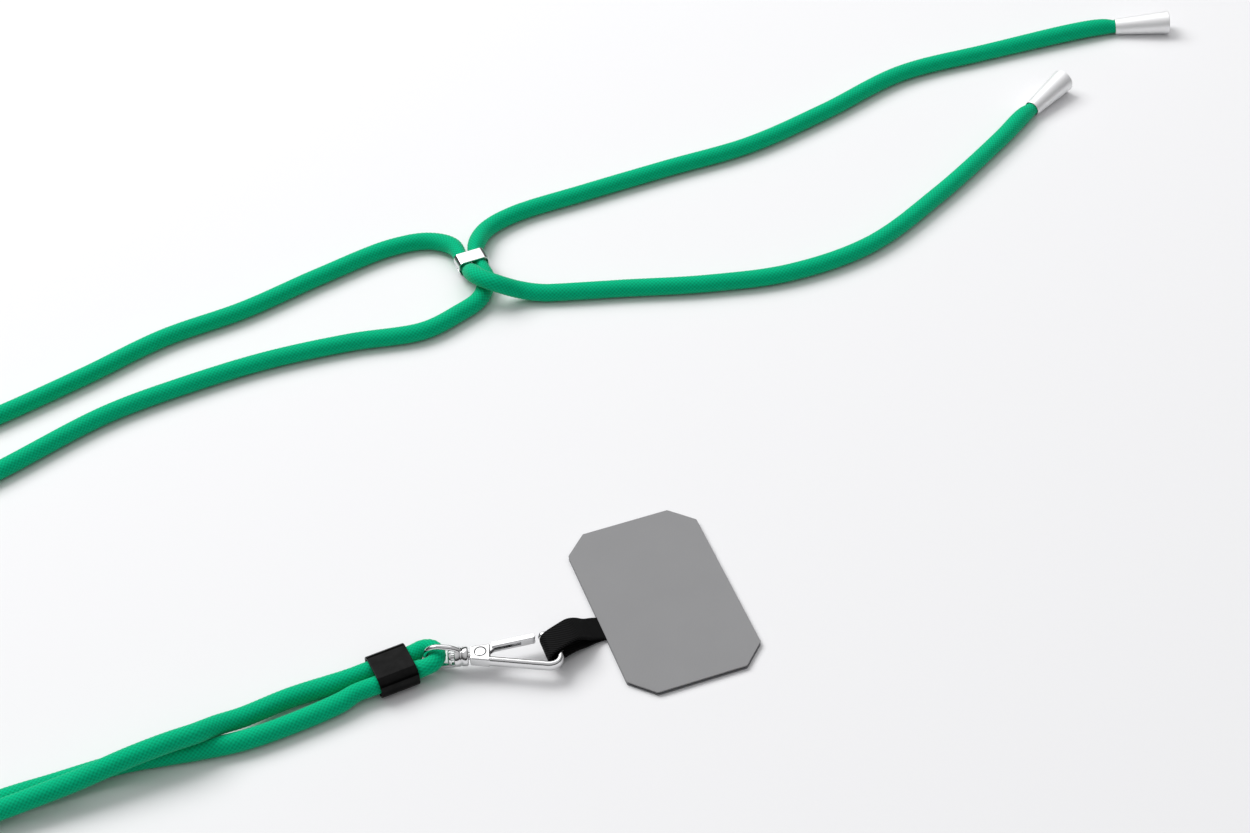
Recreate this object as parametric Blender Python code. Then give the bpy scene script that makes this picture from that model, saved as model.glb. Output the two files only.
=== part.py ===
"""Phone lanyard of round braided cord: two cone ends, a strand clamp, a keeper sleeve, a swivel
trigger hook, and a webbing tab with a flat tether patch. It lies on a table top at z = 0.

Lengths below are millimetres. The origin is the middle of the patch's underside, +X runs along the
hook's swivel axis and +Z is up.
"""

import math

import bmesh
import bpy
from mathutils import Matrix, Vector

MM = 0.001

# Cord
CORD_RADIUS = 2.8
LYING = 2.85  # height of the cord's centre where it lies on the table
SQUEEZED = 2.2  # radius inside a cone end
CLAMPED = 2.12
SLEEVED = 2.55
BENT = 2.35  # flattened where the cord pulls round the eye
POINT_SPACING = 24.0

# Cone ends: mouth centre and heading of each, and their common turned shape
CAP_LENGTH = 18.5
CAP_MOUTH_RADIUS = 2.7
CAP_WIDE_RADIUS = 3.95
CAP_MOUTH_BORE = 2.45
CAP_WIDE_BORE = 3.55
CAP_MOUTHS = {"a": (171.6, 253.3, 2.75), "b": (135.3, 208.9, 2.75)}
CAP_HEADINGS = {"a": (17.7, -0.8, 1.2), "b": (13.2, 13.8, 1.3)}
CORD_DEPTH = 15.6  # how far the cord reaches into a cone end
PLUG_FRONT = 16.3
PLUG_BACK = 17.9
PLUG_RADIUS = 3.2

# Strand clamp: a bent metal strip round both strands
CLAMP_CENTRE = (-53.2, 144.0, 4.4)
CLAMP_YAW = math.radians(-70.0)
CLAMP_LENGTH = 5.0
CLAMP_WIDTH = 10.2
CLAMP_HEIGHT = 5.7
CLAMP_CORNER = 2.0
CLAMP_WALL = 0.5
CLAMP_SLIT = 0.25
CLAMP_SPREAD = 2.3  # from the clamp's middle to each strand's centre

# Keeper sleeve
KEEPER_BASE = (-73.7, -22.3, 0.02)
KEEPER_YAW = math.radians(23.0)
KEEPER_LENGTH = 11.0
KEEPER_WIDTH = 12.8
KEEPER_HEIGHT = 7.2
KEEPER_CORNER = 3.1
KEEPER_WALL = 0.75

# Swivel hook: its own frame has its origin on the swivel axis, x along that axis
HOOK_ORIGIN = (-55.0, -20.0, 5.0)
EYE_WIRE = 0.75
EYE_RISE = 3.85
EYE_REACH = 9.9
EYE_YAW = math.radians(-4.5)  # the ring's plane stands a little askew
COLLAR_RADIUS = 2.7
COLLAR_HALF = 1.9
COLLAR_BORE = 1.2
POST_RADIUS = 1.0
POST_HEAD_RADIUS = 2.1
POST_HEAD_FRONT = -3.7
POST_HEAD_BACK = -2.85
PLATE_START = 2.3
PLATE_END = 7.7
BOW_END = 27.5
SIDE_SLOPE = 0.182
PLATE_HALF = 2.2
HOOK_HALF_THICK = 1.5
ARM_WIDTH = 1.85
THROAT_END = 20.4
NOSE_OUT = 6.4
BOW_WIDTH = 2.0
BOW_CORNER = 1.2
TOE_RADIUS = 4.0
RIVET = (5.1, 0.2)
RIVET_HEAD = 1.5
RIVET_SHAFT = 0.8
RIVET_HOLE = 0.95
HEAD_DEPTH = 0.3
CLEVIS_HALF = 0.95
GATE_START = 8.1
GATE_TIP = 19.9
GATE_SLOPE = 0.203
GATE_FAR = 3.6
GATE_WIDTH = 1.85
GATE_HALF_THICK = 1.3
ROOT_RADIUS = 1.6
ROOT_HALF_THICK = 0.8
CHANNEL_HALF = 0.5
CHANNEL_END = 16.0
SPRING_WIRE = 0.12
SPRING_RADIUS = 1.17
CLEAR = 0.15  # gap round small fitted metal pieces

# Tether patch and its webbing tab: the patch's frame is turned about z
PATCH_YAW = math.radians(17.3)
PATCH_WIDTH = 38.5
PATCH_LENGTH = 62.0
PATCH_CHAMFER = 6.5
BACK_THICK = 0.35
CORE_THICK = 0.5
FACE_THICK = 0.4
LAYER_GAP = 0.1
CORE_INSET = 0.4
TAB_WIDTH = 8.3
TAB_FOLD = (-37.3, -9.2)  # middle of the webbing's fold inside the bow, in the patch's frame
TAB_ENTRY = (-PATCH_WIDTH / 2, -3.75)  # where the webbing enters the patch
TAB_RUN = TAB_ENTRY[0] - TAB_FOLD[0]
TAB_SLICE = 1.5
TAB_EASE = 4.0  # the webbing keeps straight this far from its fold, then slants towards the patch
TAB_TAIL = 9.5  # length of the webbing held between the patch's layers
NOTCH_CLEAR = 0.3

STEPS = 20  # sides of a turned piece


def clear_scene():
    for obj in list(bpy.data.objects):
        bpy.data.objects.remove(obj)


def make_material(name, colour, roughness, metallic):
    material = bpy.data.materials.new(name)
    material.use_nodes = True
    shader = material.node_tree.nodes["Principled BSDF"]
    shader.inputs["Base Color"].default_value = (*colour, 1.0)
    shader.inputs["Roughness"].default_value = roughness
    shader.inputs["Metallic"].default_value = metallic
    return material


# Outlines: lists of (x, y) in millimetres


def rounded(corners, steps=4):
    """The closed outline with each corner (x, y, radius) replaced by an arc."""
    outline = []
    for i, (x, y, radius) in enumerate(corners):
        here = Vector((x, y))
        back = (Vector(corners[i - 1][:2]) - here).normalized()
        ahead = (Vector(corners[(i + 1) % len(corners)][:2]) - here).normalized()
        half = back.angle(ahead) / 2
        middle = here + (back + ahead).normalized() * radius / math.sin(half)
        first = here + back * radius / math.tan(half) - middle
        last = here + ahead * radius / math.tan(half) - middle
        sweep = last.angle_signed(first)
        for step in range(steps + 1):
            outline.append(middle + Matrix.Rotation(sweep * step / steps, 2) @ first)
    return outline


def circle(middle, radius, steps=STEPS):
    turns = (2 * math.pi * step / steps for step in range(steps))
    return [Vector((middle[0] + radius * math.cos(a), middle[1] + radius * math.sin(a))) for a in turns]


def box_outline(x0, x1, y0, y1):
    return [Vector((x0, y0)), Vector((x1, y0)), Vector((x1, y1)), Vector((x0, y1))]


# Solids: bmesh shapes in millimetres


def face_outwards(bm):
    bmesh.ops.recalc_face_normals(bm, faces=bm.faces)
    if bm.calc_volume(signed=True) < 0:
        bmesh.ops.reverse_faces(bm, faces=bm.faces)


def prism(outline, low, high):
    bm = bmesh.new()
    face = bm.faces.new([bm.verts.new((x, y, low)) for x, y in outline])
    top = bmesh.ops.extrude_face_region(bm, geom=[face])["geom"]
    verts = [v for v in top if isinstance(v, bmesh.types.BMVert)]
    bmesh.ops.translate(bm, verts=verts, vec=(0, 0, high - low))
    face_outwards(bm)
    return bm


def turned(profile, closed, steps=STEPS):
    """Turns the profile, a list of (x, radius), about the X axis. An open one ends on the axis."""
    bm = bmesh.new()
    verts = [bm.verts.new((x, radius, 0)) for x, radius in profile]
    for first, second in zip(verts, verts[1:] + verts[:1] if closed else verts[1:]):
        bm.edges.new((first, second))
    bmesh.ops.spin(
        bm, geom=bm.verts[:] + bm.edges[:], axis=(1, 0, 0), cent=(0, 0, 0),
        angle=2 * math.pi, steps=steps, use_merge=True,
    )
    bmesh.ops.remove_doubles(bm, verts=bm.verts, dist=0.0005)
    face_outwards(bm)
    return bm


def tube(path, radius, sides=8):
    """A round wire along the path, with flat ends."""
    bm = bmesh.new()
    rings = []
    side = None
    for i, point in enumerate(path):
        along = (path[min(i + 1, len(path) - 1)] - path[max(i - 1, 0)]).normalized()
        side = along.orthogonal().normalized() if side is None else (side - along * side.dot(along)).normalized()
        other = along.cross(side)
        turns = (2 * math.pi * step / sides for step in range(sides))
        rings.append([bm.verts.new(point + (side * math.cos(a) + other * math.sin(a)) * radius) for a in turns])
    for first, second in zip(rings, rings[1:]):
        for k in range(sides):
            nxt = (k + 1) % sides
            bm.faces.new((first[k], first[nxt], second[nxt], second[k]))
    bm.faces.new(list(reversed(rings[0])))
    bm.faces.new(rings[-1])
    face_outwards(bm)
    return bm


def smooth_path(points, spacing):
    """Points on a smooth curve through the given ones, about this far apart, as (place, value) pairs.

    Each given point is (x, y, z, value). The curve is a centripetal Catmull-Rom spline.
    """
    knots = [Vector(p) for p in points]
    knots = [2 * knots[0] - knots[1], *knots, 2 * knots[-1] - knots[-2]]
    found = []
    for p0, p1, p2, p3 in zip(knots, knots[1:], knots[2:], knots[3:]):
        t1 = (p1 - p0).length ** 0.5
        t2 = t1 + (p2 - p1).length ** 0.5
        t3 = t2 + (p3 - p2).length ** 0.5
        pieces = max(1, round((p2 - p1).length / spacing))
        for piece in range(pieces):
            t = t1 + (t2 - t1) * piece / pieces
            a1 = p0 * ((t1 - t) / t1) + p1 * (t / t1)
            a2 = p1 * ((t2 - t) / (t2 - t1)) + p2 * ((t - t1) / (t2 - t1))
            a3 = p2 * ((t3 - t) / (t3 - t2)) + p3 * ((t - t2) / (t3 - t2))
            b1 = a1 * ((t2 - t) / t2) + a2 * (t / t2)
            b2 = a2 * ((t3 - t) / (t3 - t1)) + a3 * ((t - t1) / (t3 - t1))
            found.append(b1 * ((t2 - t) / (t2 - t1)) + b2 * ((t - t1) / (t2 - t1)))
    found.append(knots[-2])
    return [(Vector(p[:3]), p[3]) for p in found]


# Objects


def add_solid(name, bm, material, frame=Matrix(), pivot=(0, 0, 0), smooth_angle=40.0):
    """An object whose origin is the pivot, given like the shape in the frame's millimetres."""
    pivot = Vector(pivot)
    bmesh.ops.translate(bm, verts=bm.verts, vec=-pivot)
    bmesh.ops.scale(bm, verts=bm.verts, vec=(MM, MM, MM))
    mesh = bpy.data.meshes.new(name)
    bm.to_mesh(mesh)
    bm.free()
    obj = bpy.data.objects.new(name, mesh)
    bpy.context.scene.collection.objects.link(obj)
    place = frame @ Matrix.Translation(pivot)
    place.translation *= MM
    obj.matrix_world = place
    if material is not None:
        mesh.materials.append(material)
        mesh.shade_smooth()
        mesh.set_sharp_from_angle(angle=math.radians(smooth_angle))
    return obj


def add_bevel(obj, width, angle=50.0):
    bevel = obj.modifiers.new("rounding", "BEVEL")
    bevel.width = width * MM
    bevel.segments = 2
    bevel.limit_method = "ANGLE"
    bevel.angle_limit = math.radians(angle)


def combine(obj, bm, operation, frame=Matrix()):
    """Cuts the shape from the object, or joins it on, and keeps it as a hidden helper."""
    helper = add_solid(f"{obj.name}.{operation.lower()}.{len(obj.modifiers)}", bm, None, frame)
    helper.hide_render = True
    helper.display_type = "WIRE"
    modifier = obj.modifiers.new(operation.lower(), "BOOLEAN")
    modifier.operation = operation
    modifier.object = helper


def frame_at(place, yaw=0.0):
    return Matrix.Translation(place) @ Matrix.Rotation(yaw, 4, "Z")


def axis_frame(place, heading):
    """A frame whose x axis points along the heading."""
    along = Vector(heading).normalized()
    side = Vector((0, 0, 1)).cross(along).normalized()
    turn = Matrix((along, side, along.cross(side))).transposed().to_4x4()
    return Matrix.Translation(place) @ turn


CLAMP_FRAME = frame_at(CLAMP_CENTRE, CLAMP_YAW)
KEEPER_FRAME = frame_at(KEEPER_BASE, KEEPER_YAW)
HOOK_FRAME = frame_at(HOOK_ORIGIN)
PATCH_FRAME = frame_at((0, 0, 0), PATCH_YAW)
CAP_FRAMES = {end: axis_frame(CAP_MOUTHS[end], CAP_HEADINGS[end]) for end in CAP_MOUTHS}

# Cord


def cord_route():
    """The cord's centre line from one cone end to the other, as (x, y, z, radius)."""
    free = CORD_RADIUS

    def in_cap(end, depth, radius):
        return (*(CAP_FRAMES[end] @ Vector((depth, 0, 0))), radius)

    def in_clamp(along, across):
        return (*(CLAMP_FRAME @ Vector((along, across, 0))), CLAMPED)

    def in_keeper(along, across):
        return (*(KEEPER_FRAME @ Vector((along, across, KEEPER_HEIGHT / 2))), SLEEVED)

    return [
        in_cap("a", CORD_DEPTH, SQUEEZED),
        in_cap("a", 0.5, SQUEEZED),
        (167.0, 253.4, LYING, free),
        (123, 242, LYING, free),
        (94, 233, LYING, free),
        (66, 214, LYING, free),
        (39, 198, LYING, free),
        (11, 188, LYING, free),
        (-16, 178, LYING, free),
        (-40, 168.5, LYING, free),
        (-48.6, 161.5, 3.1, free),
        (-51.8, 153.5, 3.9, free),
        in_clamp(-3.3, CLAMP_SPREAD),
        in_clamp(3.3, CLAMP_SPREAD),
        (-48.7, 137.4, 3.4, free),
        (-49.0, 133.2, 2.9, free),
        (-51.2, 127.3, LYING, free),
        (-57.2, 121.7, LYING, free),
        (-68, 114.5, LYING, free),
        (-91, 111, LYING, free),
        (-116, 105, LYING, free),
        (-140, 96, LYING, free),
        (-163, 85, LYING, free),
        (-191.9, 63.9, LYING, free),
        (-221, 44, LYING, free),
        (-241, 24, LYING, free),
        (-249, -4, LYING, free),
        (-241, -34, LYING, free),
        (-220, -55, LYING, free),
        (-193, -62, LYING, free),
        (-165.4, -54.8, LYING, free),
        (-144, -48.1, LYING, free),
        (-125.2, -45.2, LYING, free),
        (-112.8, -42.8, LYING, free),
        (-100.4, -38.2, LYING, free),
        (-87.5, -32.1, 3.1, free),
        in_keeper(-6.4, -2.85),
        in_keeper(6.2, -2.85),
        (-64.9, -22.7, 4.6, BENT),
        (-62.7, -21.8, 5.0, BENT),
        (-61.5, -19.3, 5.0, BENT),
        (-62.7, -16.7, 5.0, BENT),
        (-65.3, -15.8, 4.5, BENT),
        in_keeper(6.2, 2.85),
        in_keeper(-6.4, 2.85),
        (-87.8, -24.7, 3.3, free),
        (-100.9, -29.7, 3.5, free),
        (-112.9, -36.3, 4.6, free),
        (-119.0, -39.6, 6.0, free),
        (-124.7, -44.0, 8.2, free),
        (-130.5, -46.4, 8.6, free),
        (-140, -50.0, 8.1, free),
        (-154.9, -56.1, 6.6, free),
        (-173.2, -62.7, 5.2, free),
        (-192, -69.2, 4.0, free),
        (-218, -73.5, 3.0, free),
        (-247, -65, LYING, free),
        (-269, -40, LYING, free),
        (-277, -8, LYING, free),
        (-270, 26, LYING, free),
        (-250, 54, LYING, free),
        (-224, 71.5, LYING, free),
        (-195.4, 87.5, LYING, free),
        (-171, 103, LYING, free),
        (-149, 118, LYING, free),
        (-125, 129, LYING, free),
        (-102, 143, LYING, free),
        (-79, 155.5, LYING, free),
        (-67, 157.5, LYING, free),
        (-59.6, 153.5, 3.6, free),
        in_clamp(-3.3, -CLAMP_SPREAD),
        in_clamp(3.3, -CLAMP_SPREAD),
        (-53.0, 136.6, 6.6, free),
        (-50.9, 132.4, 8.4, free),
        (-46.5, 129.4, 8.3, free),
        (-38.1, 129.6, 4.2, free),
        (-30, 129, LYING, free),
        (-6, 129, LYING, free),
        (21, 129, LYING, free),
        (47, 132, LYING, free),
        (73, 143, LYING, free),
        (98, 166, LYING, free),
        (122, 193, LYING, free),
        (132.0, 205.5, LYING, free),
        in_cap("b", 0.5, SQUEEZED),
        in_cap("b", CORD_DEPTH, SQUEEZED),
    ]


def make_cord(material):
    curve = bpy.data.curves.new("cord", "CURVE")
    curve.dimensions = "3D"
    curve.bevel_depth = CORD_RADIUS * MM
    curve.bevel_resolution = 3
    curve.use_fill_caps = True
    path = smooth_path(cord_route(), POINT_SPACING)
    spline = curve.splines.new("POLY")
    spline.points.add(len(path) - 1)
    for point, (place, radius) in zip(spline.points, path):
        point.co = (*(place * MM), 1.0)
        point.radius = radius / CORD_RADIUS
    curve.materials.append(material)
    obj = bpy.data.objects.new("cord", curve)
    bpy.context.scene.collection.objects.link(obj)


def make_end_cap(end, material):
    profile = [
        (0, CAP_MOUTH_BORE),
        (0, CAP_MOUTH_RADIUS),
        (CAP_LENGTH - 0.3, CAP_WIDE_RADIUS),
        (CAP_LENGTH, CAP_WIDE_RADIUS - 0.25),
        (CAP_LENGTH, CAP_WIDE_BORE),
    ]
    add_solid(f"end_cap_{end}", turned(profile, closed=True), material, CAP_FRAMES[end])


def make_end_plug(end, material):
    profile = [(PLUG_FRONT, 0), (PLUG_FRONT, PLUG_RADIUS), (PLUG_BACK, PLUG_RADIUS), (PLUG_BACK, 0)]
    add_solid(f"end_plug_{end}", turned(profile, closed=False), material, CAP_FRAMES[end])


def standing(bm, length):
    """Lays a prism made along z down along x, its middle on the origin."""
    bmesh.ops.translate(bm, verts=bm.verts, vec=(0, 0, -length / 2))
    bmesh.ops.rotate(bm, verts=bm.verts, cent=(0, 0, 0), matrix=Matrix.Rotation(math.pi / 2, 3, "X"))
    bmesh.ops.rotate(bm, verts=bm.verts, cent=(0, 0, 0), matrix=Matrix.Rotation(math.pi / 2, 3, "Z"))
    return bm


def round_box(width, height, corner):
    x, y = width / 2, height / 2
    return rounded([(x, y, corner), (-x, y, corner), (-x, -y, corner), (x, -y, corner)])


def make_strand_clamp(material):
    outer = standing(prism(round_box(CLAMP_WIDTH, CLAMP_HEIGHT, CLAMP_CORNER), 0, CLAMP_LENGTH), CLAMP_LENGTH)
    clamp = add_solid("strand_clamp", outer, material, CLAMP_FRAME)
    inner = round_box(CLAMP_WIDTH - 2 * CLAMP_WALL, CLAMP_HEIGHT - 2 * CLAMP_WALL, CLAMP_CORNER - CLAMP_WALL)
    over = CLAMP_LENGTH + 2
    combine(clamp, standing(prism(inner, 0, over), over), "DIFFERENCE", CLAMP_FRAME)
    slit = box_outline(-over, over, -CLAMP_WIDTH, -CLAMP_WIDTH / 2 + 2 * CLAMP_WALL)
    combine(clamp, prism(slit, -CLAMP_SLIT / 2, CLAMP_SLIT / 2), "DIFFERENCE", CLAMP_FRAME)


def make_keeper_sleeve(material):
    outer = prism(round_box(KEEPER_WIDTH, KEEPER_HEIGHT, KEEPER_CORNER), 0, KEEPER_LENGTH)
    middle = KEEPER_FRAME @ Matrix.Translation((0, 0, KEEPER_HEIGHT / 2))
    sleeve = add_solid("keeper_sleeve", standing(outer, KEEPER_LENGTH), material, middle)
    inner = round_box(
        KEEPER_WIDTH - 2 * KEEPER_WALL, KEEPER_HEIGHT - 2 * KEEPER_WALL, KEEPER_CORNER - KEEPER_WALL
    )
    over = KEEPER_LENGTH + 2
    combine(sleeve, standing(prism(inner, 0, over), over), "DIFFERENCE", middle)


# Swivel hook, all in its own frame


def make_swivel_eye(material):
    collar = [
        (-COLLAR_HALF, COLLAR_BORE),
        (-COLLAR_HALF, COLLAR_RADIUS - 0.3),
        (-COLLAR_HALF + 0.3, COLLAR_RADIUS),
        (COLLAR_HALF - 0.5, COLLAR_RADIUS),
        (COLLAR_HALF, COLLAR_RADIUS - 0.5),
        (COLLAR_HALF, COLLAR_BORE),
    ]
    pivot = (-EYE_REACH + EYE_RISE, 0, 0)
    eye = add_solid("swivel_eye", turned(collar, closed=True), material, HOOK_FRAME, pivot)
    half_turn = [math.pi / 2 + math.pi * step / 12 for step in range(13)]
    arc = [Vector((pivot[0] + EYE_RISE * math.cos(a), 0, EYE_RISE * math.sin(a))) for a in half_turn]
    shoulder = (-2.8, 3.45)
    foot = (-0.6, 2.3)
    path = [Vector((x, 0, z)) for x, z in (foot, shoulder)] + arc
    path += [Vector((x, 0, -z)) for x, z in (shoulder, foot)]
    ring = tube(path, EYE_WIRE)
    bmesh.ops.rotate(ring, verts=ring.verts, cent=(0, 0, 0), matrix=Matrix.Rotation(EYE_YAW, 3, "Z"))
    combine(eye, ring, "UNION", HOOK_FRAME)


def make_swivel_post(material):
    end = PLATE_START + 0.7
    profile = [
        (POST_HEAD_FRONT, 0),
        (POST_HEAD_FRONT, POST_HEAD_RADIUS - 0.6),
        (POST_HEAD_FRONT + 0.4, POST_HEAD_RADIUS),
        (POST_HEAD_BACK, POST_HEAD_RADIUS),
        (POST_HEAD_BACK, POST_RADIUS),
        (end, POST_RADIUS),
        (end, 0),
    ]
    add_solid("swivel_post", turned(profile, closed=False), material, HOOK_FRAME)


def side_edge(x):
    """Half the hook's width at x, from its plate to its toe."""
    return PLATE_HALF + SIDE_SLOPE * (x - PLATE_START)


def hook_outline():
    inside = BOW_END - BOW_WIDTH
    return rounded([
        (PLATE_START, PLATE_HALF, 0.5),
        (PLATE_START, -PLATE_HALF, 0.5),
        (BOW_END, -side_edge(BOW_END), TOE_RADIUS),
        (BOW_END, side_edge(BOW_END) + 0.3, TOE_RADIUS),
        (THROAT_END, NOSE_OUT, 0.7),
        (THROAT_END, NOSE_OUT - 2.0, 0.4),
        (inside, side_edge(inside) - ARM_WIDTH + 0.4, BOW_CORNER),
        (inside, -side_edge(inside) + ARM_WIDTH, BOW_CORNER),
        (PLATE_END, -side_edge(PLATE_END) + ARM_WIDTH, 0.6),
        (PLATE_END, 2.9, 0.7),
    ])


def make_hook_frame(material):
    frame = add_solid("hook_frame", prism(hook_outline(), -HOOK_HALF_THICK, HOOK_HALF_THICK), material, HOOK_FRAME)
    add_bevel(frame, 0.45)
    clevis = box_outline(PLATE_START + 1.05, PLATE_END + 1, -1.6, 4.5)
    combine(frame, prism(clevis, -CLEVIS_HALF, CLEVIS_HALF), "DIFFERENCE", HOOK_FRAME)
    bore = turned([(0, 0), (0, POST_RADIUS + CLEAR), (3.15, POST_RADIUS + CLEAR), (3.15, 0)], closed=False)
    combine(frame, bore, "DIFFERENCE", HOOK_FRAME)
    combine(frame, prism(circle(RIVET, RIVET_HOLE), -3, 3), "DIFFERENCE", HOOK_FRAME)
    step = HOOK_HALF_THICK - HEAD_DEPTH
    for low, high in ((step, 3), (-3, -step)):
        seat = prism(circle(RIVET, RIVET_HEAD + CLEAR), low, high)
        combine(frame, seat, "DIFFERENCE", HOOK_FRAME)


def make_gate_rivet(material):
    low = HOOK_HALF_THICK - HEAD_DEPTH + 0.06
    profile = [
        (-HOOK_HALF_THICK, 0),
        (-HOOK_HALF_THICK, RIVET_HEAD),
        (-low, RIVET_HEAD),
        (-low, RIVET_SHAFT),
        (low, RIVET_SHAFT),
        (low, RIVET_HEAD),
        (HOOK_HALF_THICK, RIVET_HEAD),
        (HOOK_HALF_THICK, 0),
    ]
    bm = turned(profile, closed=False)
    bmesh.ops.rotate(bm, verts=bm.verts, cent=(0, 0, 0), matrix=Matrix.Rotation(math.pi / 2, 3, "Y"))
    bmesh.ops.translate(bm, verts=bm.verts, vec=(*RIVET, 0))
    add_solid("gate_rivet", bm, material, HOOK_FRAME, (*RIVET, 0))


def gate_far_edge(x):
    return GATE_FAR + GATE_SLOPE * (x - GATE_START)


def make_gate_lever(material):
    bar = rounded([
        (GATE_START, gate_far_edge(GATE_START), 0.2),
        (GATE_START, gate_far_edge(GATE_START) - GATE_WIDTH, 0.2),
        (GATE_TIP, gate_far_edge(GATE_TIP) - GATE_WIDTH, 0.8),
        (GATE_TIP, gate_far_edge(GATE_TIP), 0.8),
    ])
    bm = prism(bar, -GATE_HALF_THICK, GATE_HALF_THICK)
    gate = add_solid("gate_lever", bm, material, HOOK_FRAME, (*RIVET, 0))
    add_bevel(gate, 0.3)
    arc = [a for a in circle(RIVET, ROOT_RADIUS, 32) if (a - Vector(RIVET)).dot(Vector((0.75, 0.66))) < 0.6]
    arc.sort(key=lambda a: (math.atan2(a.y - RIVET[1], a.x - RIVET[0]) - 0.72) % (2 * math.pi))
    neck = GATE_START + 1.0
    root = [*arc, Vector((neck, gate_far_edge(neck) - GATE_WIDTH + 0.2)), Vector((neck, gate_far_edge(neck) - 0.2))]
    combine(gate, prism(root, -ROOT_HALF_THICK, ROOT_HALF_THICK), "UNION", HOOK_FRAME)
    channel = [
        Vector((0, -3)),
        Vector((CHANNEL_END, -3)),
        Vector((CHANNEL_END, gate_far_edge(CHANNEL_END) - 0.5)),
        Vector((GATE_START, gate_far_edge(GATE_START) - 0.5)),
        Vector((RIVET[0] + 1.5, RIVET[1] + 1.8)),
        Vector((0, RIVET[1] + 1.8)),
    ]
    combine(gate, prism(channel, -CHANNEL_HALF, CHANNEL_HALF), "DIFFERENCE", HOOK_FRAME)
    combine(gate, prism(circle(RIVET, RIVET_HOLE), -3, 3), "DIFFERENCE", HOOK_FRAME)


def make_gate_spring(material):
    """A wire coil round the rivet: one leg presses on the gate's channel, the other on the near arm."""
    turns = 1.5
    steps = 30
    rise = 0.2 * turns
    coil = []
    for step in range(steps + 1):
        a = math.pi / 2 + 2 * math.pi * turns * step / steps
        z = rise * (1 - 2 * step / steps)
        coil.append(Vector((RIVET[0] + SPRING_RADIUS * math.cos(a), RIVET[1] + SPRING_RADIUS * math.sin(a), z)))
    back = 0.5 + SPRING_WIRE + CLEAR
    leg = [Vector((x, gate_far_edge(x) - back, rise)) for x in (13.5, GATE_START + 1.4)]
    leg.append(Vector((RIVET[0] + 1.5, RIVET[1] + SPRING_RADIUS + 0.08, rise)))
    near = [Vector((RIVET[0] + 1.0, RIVET[1] - SPRING_RADIUS - 0.05, -rise)), Vector((PLATE_END, -1.3, -rise))]
    bm = tube([*leg, *coil, *near], SPRING_WIRE, sides=6)
    add_solid("gate_spring", bm, material, HOOK_FRAME, (*RIVET, 0))


# Webbing tab and tether patch, in the patch's frame


def tab_plan(s):
    """Middle of the webbing, s millimetres from its fold, measured across the patch."""
    entry = Vector(TAB_ENTRY)
    if s > TAB_RUN:
        return entry + Vector((s - TAB_RUN, 0))

    def slant(reach):
        return reach * reach / (2 * TAB_EASE) if reach < TAB_EASE else reach - TAB_EASE / 2

    along_hook = -math.tan(PATCH_YAW)
    sideways = entry.y - TAB_FOLD[1] - along_hook * TAB_RUN
    return Vector((TAB_FOLD[0] + s, TAB_FOLD[1] + along_hook * s + sideways * slant(s) / slant(TAB_RUN)))


def curve_through(points, spacing=1.4):
    return [place for place, _ in smooth_path([(s, 0, z, 0) for s, z in points], spacing)]


def make_tab_webbing(material):
    """A loop of webbing round the hook's bow, its two ends pressed together between the layers."""
    run = TAB_RUN
    low = BACK_THICK + LAYER_GAP
    high = low + CORE_THICK
    middle = HOOK_ORIGIN[2]
    turn = [math.pi / 2 + math.pi * step / 8 for step in range(9)]
    nose = [(2.65 + 2.65 * math.cos(a), middle + 2.65 * math.sin(a)) for a in turn]
    top = curve_through([(2.65, 7.65), (6, 7.65), (8.9, 7.5), (11.2, 6.2), (14, 3.7), (16.4, 2.0), (run, high)])
    under = curve_through([(2.65, 2.35), (6, 2.3), (9, 2.0), (12.5, 1.0), (16, 0.45), (run, low)])
    outer = [(run + TAB_TAIL, low), (run + TAB_TAIL, high)]
    outer += [(p.x, p.z) for p in reversed(top)] + nose[1:-1] + [(p.x, p.z) for p in under]
    hole_nose = [(2.65 + 1.75 * math.cos(a), middle + 1.75 * math.sin(a)) for a in turn]
    hole_top = curve_through([(2.65, 6.75), (6, 6.75), (8.6, 6.6), (11, 5.0), (14.3, 1.9)])
    hole_under = curve_through([(2.65, 3.25), (6, 3.2), (9, 2.9), (12.5, 1.9), (14.3, 1.6)])
    hole = [(p.x, p.z) for p in reversed(hole_top)] + hole_nose[1:-1] + [(p.x, p.z) for p in hole_under]
    half = TAB_WIDTH / 2

    def band(outline, across):
        """The side outline carried across the webbing's width and laid along its plan."""
        bm = prism([Vector(p) for p in outline], -across, across)
        for step in range(1, round((run + TAB_TAIL) / TAB_SLICE)):
            geometry = bm.verts[:] + bm.edges[:] + bm.faces[:]
            bmesh.ops.bisect_plane(bm, geom=geometry, plane_co=(step * TAB_SLICE, 0, 0), plane_no=(1, 0, 0))
        for vert in bm.verts:
            s, z, v = vert.co
            plan = tab_plan(s)
            vert.co = (plan.x, plan.y + v, z)
        face_outwards(bm)
        return bm

    pivot = PATCH_FRAME.inverted() @ Vector((HOOK_ORIGIN[0] + BOW_END - 1, HOOK_ORIGIN[1], middle))
    tab = add_solid("tab_webbing", band(outer, half), material, PATCH_FRAME, pivot)
    combine(tab, band(hole, half + 1), "DIFFERENCE", PATCH_FRAME)


def patch_outline(inset=0.0):
    x = PATCH_WIDTH / 2 - inset
    y = PATCH_LENGTH / 2 - inset
    cut = PATCH_CHAMFER - inset * (2 - math.sqrt(2))
    corners = [
        (x - cut, y), (-x + cut, y), (-x, y - cut), (-x, -y + cut),
        (-x + cut, -y), (x - cut, -y), (x, -y + cut), (x, y - cut),
    ]
    return rounded([(*corner, 0.8) for corner in corners], steps=2)


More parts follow.
